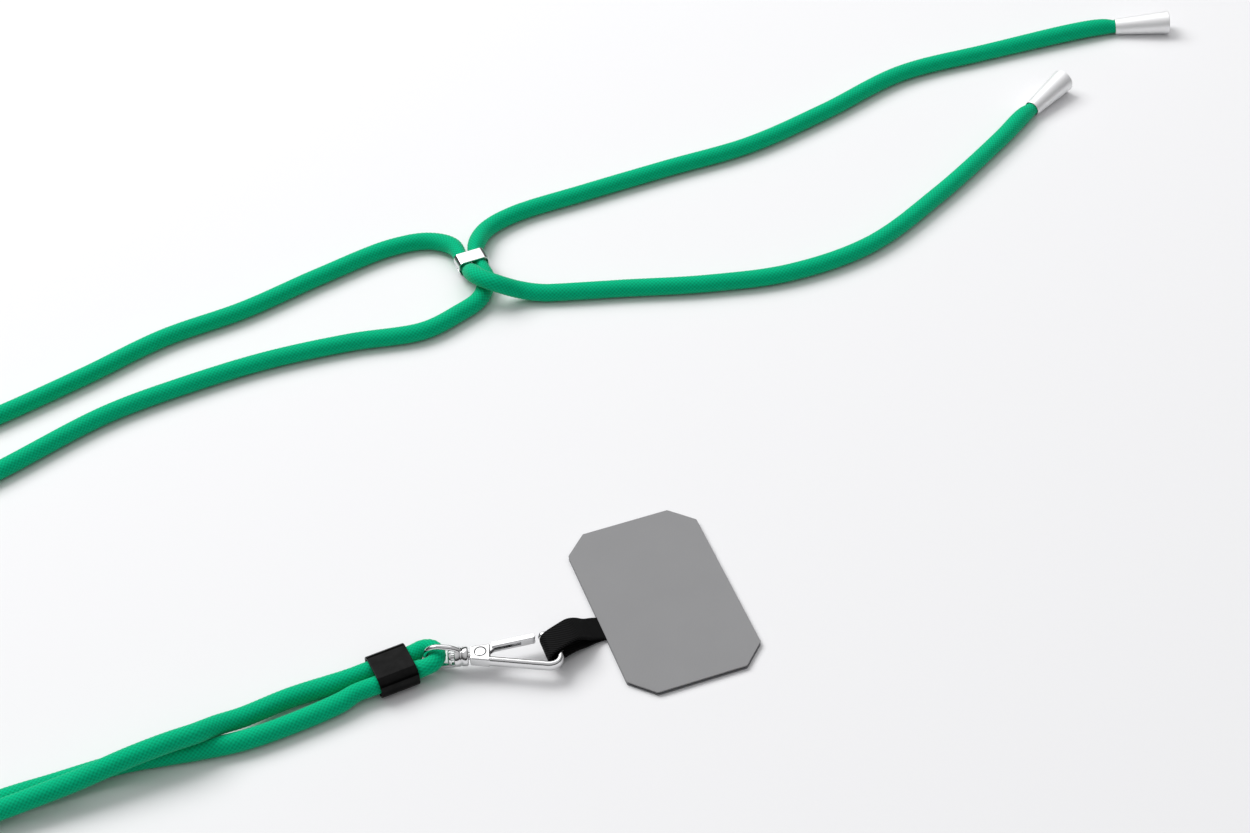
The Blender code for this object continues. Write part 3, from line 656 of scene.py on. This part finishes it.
def ring_path():
    middle = -EYE_REACH + EYE_RISE
    half = [(middle + EYE_RISE * x, EYE_RISE * z) for x, z in arc_points((0, 0), 1.0, 90, 180, 14)]
    top = [(-0.0006, 0.0023), (-0.0017, 0.0030), (-0.0028, 0.00345), (-0.0044, 0.0037), *half]
    line = smooth_flat(top, 0.0003)
    line += [(x, -z) for x, z in line[-2::-1]]
    turn = HOOK_FRAME @ Matrix.Rotation(EYE_YAW, 4, "Z")
    return [(*(turn @ Vector((x, 0, z))), EYE_WIRE / 2) for x, z in line]


def collar_profile():
    edge = 0.0003
    return [
        (-COLLAR_HALF, COLLAR_BORE),
        *arc_points((-COLLAR_HALF + edge, COLLAR_RADIUS - edge), edge, 180, 90, 5),
        (-0.0004, COLLAR_RADIUS),
        (-0.0003, COLLAR_RADIUS - 0.0002),
        (0.0001, COLLAR_RADIUS - 0.0002),
        (0.0002, COLLAR_RADIUS),
        *arc_points((COLLAR_HALF - 0.0006, COLLAR_RADIUS - 0.0006), 0.0006, 90, 0, 6),
        (COLLAR_HALF, COLLAR_BORE),
    ]


ring_mesh = swept("ring", ring_path(), 24)
collar_mesh = to_mesh("collar", turned(collar_profile(), 72, True), HOOK_FRAME)
with_modifiers(
    "swivel_ring", collar_mesh, "eye", "polished_nickel", "swivel_eye",
    lambda obj: [boolean(obj, ring_mesh, "UNION")],
)

# %% Post
def post_profile():
    head = arc_points((-0.0031, 0.0015), 0.0006, 180, 90, 6)
    neck = 0.001
    return [(-0.0037, 0), *head, (-0.00285, 0.0021), (-0.00285, neck), (0.003, neck), (0.003, 0)]


post = to_mesh("post", turned(post_profile(), 64, False), HOOK_FRAME)
add_piece("post", post, "hook", "polished_nickel", "swivel_post")

# %% [markdown]
# ## The hook
# The hook is a die-cast piece: a flat plate that takes the post and the gate's rivet, and a bar
# that leaves the plate's near corner, runs out along one side, turns round the bow and ends in a nose
# that the gate shuts on. The bar has a rounded section, so it is swept; the plate is a rounded
# prism. The two are joined, and the gate's slot and the rivet's seats are cut out of the plate.

# %% Hook frame
PLATE = (0.0023, 0.0077)
HALF_THICK = 0.0015
RIVET = (0.0051, 0.0002)
RIVET_HEAD = 0.00142
RIVET_GAP = 0.00024
RIVET_SHAFT = 0.0008
CLEVIS_HALF = 0.00095
BAR_WIDTH = 0.00195
BOW_MIDDLE = 0.0265


def edge_half(x):
    """Half the hook's width at x."""
    return 0.0022 + 0.182 * (x - PLATE[0])


def bar_path():
    inset = BAR_WIDTH / 2
    near = [(0.0034, -edge_half(0.0034) + inset), (0.0120, -edge_half(0.0120) + inset)]
    near.append((0.0215, -edge_half(0.0215) + inset))
    toe = [(0.0239, -0.00505), (0.02555, -0.0045), (0.0264, -0.0032)]
    bow = [(BOW_MIDDLE, -0.0012), (BOW_MIDDLE, 0.0012)]
    far = [(0.0264, 0.0034), (0.02555, 0.0048), (0.0239, 0.00545), (0.0222, 0.00545), (0.0206, 0.0052)]
    return np.array(smooth_flat(near + toe + bow + far, 0.00035))


def bar_scales(count):
    """Full size along the bar, rounded off over the last few rings of the nose."""
    scales = np.ones(count)
    scales[-4:] = (0.97, 0.88, 0.68, 0.3)
    return scales


def bar_solid():
    """The bar's section carried along its flat line."""
    line = bar_path()
    ahead = headings(line)
    bm = bmesh.new()
    rings = []
    for (x, y), (dx, dy), scale in zip(line, ahead, bar_scales(len(line))):
        section = oval_section(BAR_WIDTH * scale, 2 * HALF_THICK * scale, power=2.5)
        rings.append([bm.verts.new((x + dy * a, y - dx * a, z)) for a, z in section])
    for first, second in zip(rings, rings[1:]):
        bridge(bm, first, second)
    bm.faces.new(rings[0])
    bm.faces.new(rings[-1])
    return bm


def z_cylinder(name, radius, low, high):
    outline = arc_points(RIVET, radius, 0, 360, 64)[:-1]
    return to_mesh(name, prism(outline, low, high), HOOK_FRAME)


def build_hook(obj):
    bevel(obj, 0.0004, segments=4)
    seat = RIVET_HEAD + RIVET_GAP
    slot_outline = [(0.00335, -0.0016), (0.0087, -0.0016), (0.0087, 0.0045), (0.00335, 0.0045)]
    bore = turned([(0, 0), (0, 0.00115), (0.00315, 0.00115), (0.00315, 0)], 48, False)
    cuts = [
        to_mesh("slot", prism(slot_outline, -CLEVIS_HALF, CLEVIS_HALF), HOOK_FRAME),
        z_cylinder("hole", 0.00095, -0.003, 0.003),
        z_cylinder("seat", seat, 0.0012, 0.003),
        z_cylinder("seat", seat, -0.003, -0.0012),
        to_mesh("bore", bore, HOOK_FRAME),
    ]
    bar = to_mesh("bar", bar_solid(), HOOK_FRAME)
    return [boolean(obj, bar, "UNION")] + [boolean(obj, cut, "DIFFERENCE") for cut in cuts]


plate_outline = rounded([
    (PLATE[0], 0.0022, 0.0004), (PLATE[0], -0.0022, 0.0004),
    (PLATE[1], -edge_half(PLATE[1]), 0.0004), (PLATE[1], 0.0029, 0.0005),
])
plate_mesh = to_mesh("plate", prism(plate_outline, -HALF_THICK, HALF_THICK), HOOK_FRAME)
hook = with_modifiers("hook", plate_mesh, "hook", "polished_nickel", "hook_frame", build_hook)
print("hook faces:", len(hook.data.polygons))

# %% Rivet
def rivet_profile():
    flange = 0.00126
    edge = arc_points((HALF_THICK - 0.0001, RIVET_HEAD - 0.0001), 0.0001, 0, 90, 3)
    top = [(HALF_THICK, 0), *edge, (flange, RIVET_HEAD), (flange, RIVET_SHAFT)]
    return [(-x, r) for x, r in top] + top[::-1]


upright = HOOK_FRAME @ Matrix.Translation((*RIVET, 0)) @ Matrix.Rotation(-math.pi / 2, 4, "Y")
rivet = to_mesh("rivet", turned(rivet_profile(), 72, False), upright)
add_piece("rivet", rivet, "hook", "polished_nickel", "gate_rivet")

# %% [markdown]
# ## The gate and its spring
# The gate is a lever folded from sheet, with a channel open on its inner side that hides the
# spring. Its far end is solid and rounded. We keep its solid's shape and only clean and round it.


# %% Refine a ready-made node
def refined(name, node, body, slot, width):
    """A copy of the node with its flat faces whole again and its sharp edges rounded."""
    bm = bmesh.new()
    bm.from_mesh(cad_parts[node].data)
    bmesh.ops.remove_doubles(bm, verts=bm.verts, dist=1e-6)
    bmesh.ops.dissolve_limit(bm, angle_limit=math.radians(1), verts=bm.verts, edges=bm.edges)
    sharp = [e for e in bm.edges if len(e.link_faces) == 2 and e.calc_face_angle() > SHARP]
    bmesh.ops.bevel(bm, geom=sharp, offset=width, segments=3, profile=0.5, affect="EDGES", clamp_overlap=True)
    return add_piece(name, to_mesh(name, bm), body, slot, node)


refined("gate", "gate_lever", "gate", "polished_nickel", 0.00008)

# %% Spring
SPRING_WIRE = 0.00024
SPRING_RADIUS = 0.00117


def gate_inside(x):
    """The far wall of the gate's channel, less the room that the wire needs."""
    return 0.0036 + 0.203 * (x - 0.0081) - 0.00077


def spring_path():
    rise = 0.0003
    coil = []
    for step in range(73):
        a = math.pi / 2 + 3 * math.pi * step / 72
        z = rise * (1 - 2 * step / 72)
        coil.append((RIVET[0] + SPRING_RADIUS * math.cos(a), RIVET[1] + SPRING_RADIUS * math.sin(a), z))
    leg = [(0.0135, gate_inside(0.0135), rise), (0.0095, gate_inside(0.0095), rise), (0.0066, 0.00145, rise)]
    near = [(0.0061, RIVET[1] - SPRING_RADIUS - 0.00005, -rise), (0.0077, -0.0013, -rise)]
    return [(*(HOOK_FRAME @ Vector(place)), SPRING_WIRE / 2) for place in leg + coil + near]


spring = add_piece("spring", swept("spring", spring_path(), 10), None, "spring_steel", "gate_spring")
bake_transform(spring)
print("spring faces:", len(spring.data.polygons))

# %% [markdown]
# ## The webbing tab
# A flat black tape goes round the hook's bow, both its ends lie together and run down into the
# patch. It is one strip: its middle line in side view is written out, with the strip's thickness at
# each place, and the strip is a rounded section carried along it, fine enough for the weave.

# %% The strip's middle line, seen from the side: along, height, thickness
PATCH_LENGTH = 0.0385
TAB_WIDTH = 0.0083
TAB_FOLD = (-0.0373, -0.0092)
TAB_ENTRY_Y = -0.00375
TAB_RUN = 0.01805
TAB_EASE = 0.004
NOSE = (0.00265, 0.005)
NOSE_RADIUS = 0.0022
TAPE = 0.0009
PRESSED = 0.00024
WEAVE = 0.00075

nose_line = [(x, z, 0, TAPE) for x, z in arc_points(NOSE, NOSE_RADIUS, 120, 240, 8)]
TAB_SIDE = [
    (0.0272, 0.00083, 0, PRESSED), (TAB_RUN + 0.0005, 0.00083, 0, PRESSED), (0.0164, 0.0016, 0, 0.00070),
    (0.0140, 0.00285, 0, TAPE), (0.0111, 0.00560, 0, TAPE), (0.0088, 0.00695, 0, TAPE),
    (0.0058, 0.0072, 0, TAPE),
    *nose_line,
    (0.0058, 0.00275, 0, TAPE), (0.0090, 0.00245, 0, TAPE), (0.0125, 0.00145, 0, TAPE),
    (0.0160, 0.00082, 0, 0.00065), (TAB_RUN + 0.0005, 0.00057, 0, PRESSED), (0.0272, 0.00057, 0, PRESSED),
]


def tab_shift(s):
    """The tape's middle, sideways: it leaves the patch straight, then slants to the hook."""
    def slant(r):
        return r * r / (2 * TAB_EASE) if r < TAB_EASE else r - TAB_EASE / 2
    left = max(0.0, TAB_RUN - s)
    return TAB_ENTRY_Y - (TAB_ENTRY_Y - TAB_FOLD[1]) * slant(left) / slant(TAB_RUN)


# %% The tape
def tape_rings():
    """The tape's section at each place of its middle line, and each place's distance from the fold."""
    rows, length = smooth_curve(TAB_SIDE, WEAVE / 2)
    line = rows[:, :2]
    ahead = headings(line)
    out = np.stack([-ahead[:, 1], ahead[:, 0]], axis=1)
    columns = int(round(TAB_WIDTH / (WEAVE / 2)))
    across = np.linspace(-TAB_WIDTH / 2, TAB_WIDTH / 2, columns + 1)
    edge = np.clip((TAB_WIDTH / 2 - np.abs(across)) / (TAPE / 2), 0, 1)
    rounding = np.sqrt(1 - (1 - edge) ** 2) * 0.85 + 0.15
    rings = []
    for row, (place, normal, thick) in enumerate(zip(line, out, rows[:, 3])):
        weave = np.where((np.arange(columns + 1) + row) % 2 == 0, 0.0, -0.06 * thick)
        ring = []
        for side, order in ((1, range(columns + 1)), (-1, range(columns, -1, -1))):
            for k in order:
                along, high = place + normal * side * (thick / 2 * rounding[k] + weave[k])
                ring.append((TAB_FOLD[0] + along, tab_shift(place[0]) + across[k], high))
        rings.append(ring)
    print("tape length, mm:", round(length / MM, 1))
    return rings, line[:, 0]


def tape_piece(name, rings, stretches):
    """A piece of the tape: the stretches of rings given, each from its first ring to its last."""
    bm = bmesh.new()
    uv = bm.loops.layers.uv.new("UVMap")
    for start, end in stretches:
        made = [[bm.verts.new(place) for place in ring] for ring in rings[start : end + 1]]
        count = len(made[0])
        for row, (first, second) in enumerate(zip(made, made[1:]), start):
            for k in range(count):
                nxt = (k + 1) % count
                face = bm.faces.new((first[k], first[nxt], second[nxt], second[k]))
                corners = ((row, k), (row, k + 1), (row + 1, k + 1), (row + 1, k))
                for loop, (u, v) in zip(face.loops, corners):
                    loop[uv].uv = (u * WEAVE / 2, v * WEAVE / 2)
        bm.faces.new(made[0])
        bm.faces.new(made[-1])
    return add_piece(name, to_mesh(name, bm, PATCH_FRAME, sharp=60.0), None, "black_webbing", "tab_webbing")


# %% [markdown]
# The tape bends at two joints: round the hook's bow, and at the patch's edge. So it is two pieces:
# the loop, and the two ends that lie on each other.

# %% The loop and the ends
LOOP_END = 0.0125
rings, from_fold = tape_rings()
loop_rows = np.flatnonzero(from_fold < LOOP_END)
first, last = int(loop_rows[0]), int(loop_rows[-1])
loop = tape_piece("webbing_loop", rings, [(first, last)])
ends = tape_piece("webbing_ends", rings, [(0, first), (last, len(rings) - 1)])

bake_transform(loop)
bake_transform(ends)
print("tape rings:", len(rings), "loop:", first, "to", last)

# %% [markdown]
# ## The patch
# The patch is a stiff film core between a film back and a cloth face, die-cut as an octagon. Each
# layer is its outline raised to its thickness, with its edges rounded.

# %% Patch layers
PATCH_WIDTH = 0.062
PATCH_CHAMFER = 0.0065
DIE_CORNER = 0.0008


def octagon(inset):
    """The patch's outline, smaller by the inset on every side."""
    x, y = PATCH_LENGTH / 2 - inset, PATCH_WIDTH / 2 - inset
    cut = PATCH_CHAMFER - inset * (2 - math.sqrt(2))
    half = [(x, y - cut), (x - cut, y), (-x + cut, y), (-x, y - cut)]
    places = half + [(-px, -py) for px, py in half]
    return rounded([(*place, DIE_CORNER) for place in places], steps=5)


def notched(outline, half_width, depth):
    """The outline with the tape's notch cut into its left side."""
    left = min(p.x for p in outline)
    on_side = [i for i, p in enumerate(outline) if abs(p.x - left) < 1e-6]
    first = max(on_side, key=lambda i: outline[i].y)
    top, bottom = TAB_ENTRY_Y + half_width, TAB_ENTRY_Y - half_width
    notch = [(left, top), (left + depth, top), (left + depth, bottom), (left, bottom)]
    return outline[: first + 1] + [Vector(p) for p in notch] + outline[first + 1 :]


LAYERS = {
    "patch_back": ("grey_film", octagon(0.0), 0.0, 0.00035, 0.00010),
    "patch_core": ("grey_film", notched(octagon(0.0004), 0.00445, 0.0098), 0.00045, 0.00095, 0.00008),
    "patch_face": ("grey_cloth", octagon(0.0), 0.00105, 0.00145, 0.00014),
}
for node, (slot, outline, low, high, edge) in LAYERS.items():
    layer = to_mesh(node, prism(outline, low, high), PATCH_FRAME)
    with_modifiers(node.replace("patch", "layer"), layer, "patch", slot, node, lambda obj: bevel(obj, edge))
print("patch layers:", len(LAYERS))

# %% [markdown]
# ## Materials
# A material is easier to read as sums than as a web of nodes. Signal stands for one value or colour
# inside a material and takes ordinary arithmetic. Finish holds a material's shader: one method adds
# any node, set() gives it plain values, and vary() links what changes over the surface.


# %% Signals and finishes
finishes = {}


def arithmetic(operation, swapped=False):
    """The method behind one of a signal's operators."""
    return lambda self, other: self.maths(operation, *((other, self) if swapped else (self, other)))


class Signal:
    """One value or colour inside a material, with ordinary arithmetic."""

    def __init__(self, finish, socket):
        self.finish = finish
        self.socket = socket

    def maths(self, operation, *values):
        return self.finish.node("ShaderNodeMath", {"operation": operation}, dict(enumerate(values)))

    __add__ = arithmetic("ADD")
    __sub__ = arithmetic("SUBTRACT")
    __rsub__ = arithmetic("SUBTRACT", swapped=True)
    __mul__ = arithmetic("MULTIPLY")
    __truediv__ = arithmetic("DIVIDE")

    def cos(self):
        return self.maths("COSINE", self)

    def power(self, exponent):
        return self.maths("POWER", self, exponent)

    def between(self, low, high, to_low=0.0, to_high=1.0):
        """The signal moved smoothly from low..high to to_low..to_high."""
        return self.finish.node(
            "ShaderNodeMapRange", {"interpolation_type": "SMOOTHSTEP"},
            {"Value": self, "From Min": low, "From Max": high, "To Min": to_low, "To Max": to_high},
        )


class Finish:
    def __init__(self, name):
        self.material = bpy.data.materials.new(name.replace("_", " "))
        self.material.use_nodes = True
        self.tree = self.material.node_tree
        self.shader = next(n for n in self.tree.nodes if n.type == "BSDF_PRINCIPLED")
        finishes[name] = self

    def node(self, kind, settings=(), inputs=(), output=0):
        """Adds a node, its settings first, and returns the signal of one of its outputs."""
        plain = {k: v.socket if isinstance(v, Signal) else v for k, v in dict(inputs).items()}
        return Signal(self, add_node(self.tree, kind, settings, plain).outputs[output])

    def place(self, name="Object"):
        return self.node("ShaderNodeTexCoord", output=name)

    def split(self, vector):
        return [self.node("ShaderNodeSeparateXYZ", (), {0: vector}, axis) for axis in range(3)]

    def stretched(self, vector, scale):
        return self.node("ShaderNodeVectorMath", {"operation": "MULTIPLY"}, {0: vector, 1: scale})

    def noise(self, vector, scale, detail, roughness):
        inputs = {"Vector": vector, "Scale": scale, "Detail": detail, "Roughness": roughness}
        return self.node("ShaderNodeTexNoise", (), inputs)

    def mix(self, factor, first, second):
        inputs = {"Factor": factor, "A": first, "B": second}
        return self.node("ShaderNodeMix", {"data_type": "RGBA"}, inputs, 2)

    def bump(self, height, distance, strength):
        inputs = {"Strength": strength, "Distance": distance, "Height": height}
        return self.node("ShaderNodeBump", (), inputs)

    def set(self, **values):
        for key, value in values.items():
            self.shader.inputs[key.replace("_", " ").title().replace("Ior", "IOR")].default_value = value
        return self

    def vary(self, **signals):
        for key, signal in signals.items():
            self.tree.links.new(signal.socket, self.shader.inputs[key.replace("_", " ").title()])
        return self


# %% [markdown]
# ### Braid
# The braid is dyed polyester: a cool green, matt, with a soft sheen at its edges. The map's length
# and angle give the same lattice as the relief: the dips are painted darker, as shade in them, and each pillow
# has the fine lines of its yarn. Slow streaks along the cord keep it from looking printed.

# %% Green braid
braid = Finish("green_braid")
u, v, _ = braid.split(braid.place("UV"))
rows_along = u / (BRAID_CELL / 2)
rows_round = v * (2.0 * BRAID_CELLS_ROUND)
lattice = (rows_along * math.pi).cos() * (rows_round * math.pi).cos()
slanted = (rows_along + rows_round) * (math.pi * 5)
counter = (rows_along - rows_round) * (math.pi * 5)
over = (rows_along * math.pi).cos().between(-0.2, 0.2)
fibres = slanted.cos() * over + counter.cos() * (1.0 - over)
streaks = braid.noise(braid.stretched(braid.place("UV"), (90.0, 9.0, 1.0)), 1.0, 4.0, 0.6)
raised = lattice.between(-1.0, 0.7)
# Base colour: the lattice's dips are painted darker, as shade, mixed with the dye's own random streaks.
green = braid.mix(raised * 0.65 + streaks * 0.35, (0.0, 0.30, 0.138, 1), (0.0, 0.58, 0.275, 1))
braid.set(specular_ior_level=0.05, sheen_weight=0.26, sheen_roughness=0.35, sheen_tint=(0.75, 0.95, 0.85, 1))
braid.vary(
    base_color=green,
    roughness=streaks.between(0.3, 0.7, 0.66, 0.82),
    normal=braid.bump(raised * 0.8 + fibres * 0.12 + streaks * 0.3, 0.00012, 0.6),
)

# %% [markdown]
# ### Metals
# The swivel and the hook are nickel plate: bright, with a slight orange peel and faint handling
# marks, and the groove round the rivet painted dark, as shade in it. The cones are plated too, but
# blasted to a satin. The spring is bare drawn steel. One function gives each its marks, because
# metals differ mostly in how rough they are and which way their marks run.


# %% Plated and drawn metals
def metal(name, low, high, grain, depth):
    """A metal whose roughness wanders from low to high. The grain is its marks' scale on x, y and z."""
    made = Finish(name)
    where = made.place()
    wander = made.noise(where, 160.0, 4.0, 0.6)
    marks = made.noise(made.stretched(where, grain), 1.0, 3.0, 0.7)
    made.set(metallic=1.0)
    made.vary(
        roughness=(wander * 0.6 + marks * 0.4).between(0.3, 0.7, low, high),
        normal=made.bump(marks, depth, 0.35),
    )
    return made, wander


for name, colour, *marks in (
    ("satin_silver", (0.97, 0.97, 0.975, 1), 0.50, 0.60, (900.0, 5200.0, 5200.0), 0.00002),
    ("spring_steel", (0.42, 0.42, 0.43, 1), 0.25, 0.36, (4000.0, 4000.0, 700.0), 0.00001),
):
    plated, wander = metal(name, *marks)
    plated.vary(base_color=plated.mix(wander, colour, (*(c * 0.9 for c in colour[:3]), 1)))
finishes["satin_silver"].set(metallic=0.7)

nickel, _ = metal("polished_nickel", 0.08, 0.17, (2600.0, 2600.0, 2600.0), 0.00001)
# Painted shade: a near-black ring in the base colour along the groove round the rivet.
x, y, _ = nickel.split(nickel.place())
centre = HOOK_FRAME @ Vector((*RIVET, 0))
off_x, off_y = x - centre.x, y - centre.y
radius = (off_x * off_x + off_y * off_y).power(0.5)
groove = RIVET_HEAD + RIVET_GAP / 2
shade_ring_inner = radius.between(groove - 0.0002, groove - 0.00008)
shade_ring_outer = radius.between(groove + 0.00008, groove + 0.0002, 1.0, 0.0)
nickel.vary(base_color=nickel.mix(shade_ring_inner * shade_ring_outer, (0.72, 0.72, 0.725, 1), (0.02, 0.02, 0.02, 1)))
print("metals:", sorted(finishes))

# %% [markdown]
# ### Black keeper
# The keeper is moulded in black and polished. A thin coat gives it the sharp reflection, and the
# body under it is a little uneven.

# %% Gloss black
gloss = Finish("black_gloss")
swirl = gloss.noise(gloss.place(), 420.0, 3.0, 0.5)
gloss.set(coat_roughness=0.08, coat_ior=1.35, specular_ior_level=0.0)
gloss.vary(
    base_color=gloss.mix(swirl, (0.001, 0.001, 0.001, 1), (0.003, 0.003, 0.003, 1)),
    roughness=swirl.between(0.3, 0.7, 0.16, 0.26),
    coat_weight=swirl.between(0.2, 0.8, 0.32, 0.45),
    normal=gloss.bump(swirl, 0.00001, 0.3),
)

# %% [markdown]
# ### Webbing, cloth and film
# The tape is a close weave: the map's length and width carry slanting ribs across the weave of the
# relief, and the rib tops are painted lighter, as a highlight. The patch's face is a fine twill, with a rib
# every half a millimetre, and its other layers are a smooth film with a slight haze.

# %% Black webbing
webbing = Finish("black_webbing")
u, v, _ = webbing.split(webbing.place("UV"))
ribs = ((u + v) * (2 * math.pi / WEAVE)).cos()
threads = ((u - v) * (2 * math.pi / (WEAVE / 3))).cos()
lint = webbing.noise(webbing.stretched(webbing.place("UV"), (2500.0, 2500.0, 1.0)), 1.0, 4.0, 0.7)
high = ribs.between(-1.0, 1.0) * 0.7 + threads.between(-1.0, 1.0) * 0.15 + lint * 0.15
webbing.set(specular_ior_level=0.06, sheen_weight=0.006, sheen_roughness=0.4)
# Painted highlight: the base colour is lighter on the rib tops than on the black between them.
webbing.vary(
    base_color=webbing.mix(high.power(3.0), (0.0005, 0.0005, 0.0005, 1), (0.024, 0.024, 0.025, 1)),
    roughness=lint.between(0.3, 0.7, 0.55, 0.75),
    normal=webbing.bump(high, 0.00010, 0.8),
)

# %% Cloth and film
RIB = 0.00036
cloth = Finish("grey_cloth")
x, y, _ = cloth.split(cloth.place())
across = x * math.cos(PATCH_YAW) + y * math.sin(PATCH_YAW)
upward_line = y * math.cos(PATCH_YAW) - x * math.sin(PATCH_YAW)
twill = ((across + upward_line) * (2 * math.pi / RIB / math.sqrt(2))).cos()
yarn = ((across - upward_line * 2.0) * (2 * math.pi / RIB)).cos()
fuzz = cloth.noise(cloth.place(), 1800.0, 4.0, 0.65)
cloud = cloth.noise(cloth.place(), 70.0, 3.0, 0.5)
weave = twill.between(-1.0, 1.0) * 0.6 + yarn.between(-1.0, 1.0) * 0.2 + fuzz * 0.2
cloth.set(specular_ior_level=0.25, sheen_weight=0.2, sheen_roughness=0.5)
cloth.vary(
    base_color=cloth.mix(weave * 0.8 + cloud * 0.2, (0.22, 0.22, 0.225, 1), (0.33, 0.33, 0.335, 1)),
    roughness=fuzz.between(0.3, 0.7, 0.75, 0.92),
    normal=cloth.bump(weave, 0.00005, 0.4),
)

film = Finish("grey_film")
haze = film.noise(film.place(), 900.0, 3.0, 0.6)
film.set(specular_ior_level=0.4)
film.vary(
    base_color=film.mix(haze, (0.20, 0.20, 0.21, 1), (0.27, 0.27, 0.28, 1)),
    roughness=haze.between(0.3, 0.7, 0.38, 0.52),
    normal=film.bump(haze, 0.00002, 0.4),
)

# %% Give each piece its finish
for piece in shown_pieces():
    material = finishes[piece["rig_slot"]].material
    piece.data.materials.clear()
    piece.data.materials.append(material)
    piece.data.polygons.foreach_set("material_index", [0] * len(piece.data.polygons))
    print(piece.name, material.name, len(piece.data.polygons), "faces")

# %% [markdown]

# %% [markdown]
# ## Table and light
# A white table under a large soft light. The light stands high on the left and behind, so shadows
# fall to the lower right. The sky is bright high up and grey near the horizon, which gives bright
# metal something dark to mirror. The Standard view keeps white white and the green cool.

# %% Table
FLOOR_SIZE = 24.0
bm = bmesh.new()
bmesh.ops.create_grid(bm, x_segments=1, y_segments=1, size=FLOOR_SIZE / 2)
floor_mesh = bpy.data.meshes.new("floor")
bm.to_mesh(floor_mesh)
bm.free()
floor = in_scene("floor", floor_mesh)
floor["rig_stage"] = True
table = Finish("table")
table.set(base_color=(0.86, 0.86, 0.87, 1), roughness=0.75, specular_ior_level=0.2)
floor_mesh.materials.append(table.material)

# %% Sky
bpy.context.scene.view_settings.view_transform = "Standard"
world = bpy.data.worlds.new("studio")
world.use_nodes = True
bpy.context.scene.world = world
sky = world.node_tree
background = next(n for n in sky.nodes if n.type == "BACKGROUND")
direction = add_node(sky, "ShaderNodeTexCoord").outputs["Generated"]
up = add_node(sky, "ShaderNodeSeparateXYZ", (), {0: direction}).outputs["Z"]
ramp = add_node(sky, "ShaderNodeValToRGB", (), {0: up})
sky.links.new(ramp.outputs["Color"], background.inputs["Color"])
SKY_STOPS = [(0.0, 0.02), (0.32, 0.10), (0.55, 0.62), (1.0, 1.0)]
while len(ramp.color_ramp.elements) < len(SKY_STOPS):
    ramp.color_ramp.elements.new(0.5)
for stop, (height, level) in zip(ramp.color_ramp.elements, SKY_STOPS):
    stop.position = height
    stop.color = (level, level, level * 1.01, 1)
background.inputs["Strength"].default_value = 0.70


# %% Soft lights
def soft_light(name, place, aim, width, height, power):
    light = bpy.data.lights.new(name, "AREA")
    light.shape = "RECTANGLE"
    light.size = width
    light.size_y = height
    light.energy = power
    lamp = in_scene(name, light)
    lamp.location = place
    lamp.rotation_euler = (Vector(aim) - Vector(place)).to_track_quat("-Z", "Y").to_euler()


soft_light("key", (-1.2, 1.1, 1.8), (0.0, 0.05, 0.0), 1.4, 1.4, 40.0)
soft_light("back", (0.0, 1.3, 1.55), (0.0, 0.05, 0.0), 1.4, 1.5, 8.0)

# %% [markdown]
# ## Size, and the end
# The finished pieces must fill the frame's box: both boxes are printed.

# %% Print the boxes
view_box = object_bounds()
boxes = {
    "cad": [list(map(float, corner)) for corner in cad_box],
    "visual": [list(map(float, corner)) for corner in view_box],
}
for name, (low, high) in boxes.items():
    print(name, "box, mm:", [round(x / MM, 1) for x in low], [round(x / MM, 1) for x in high])
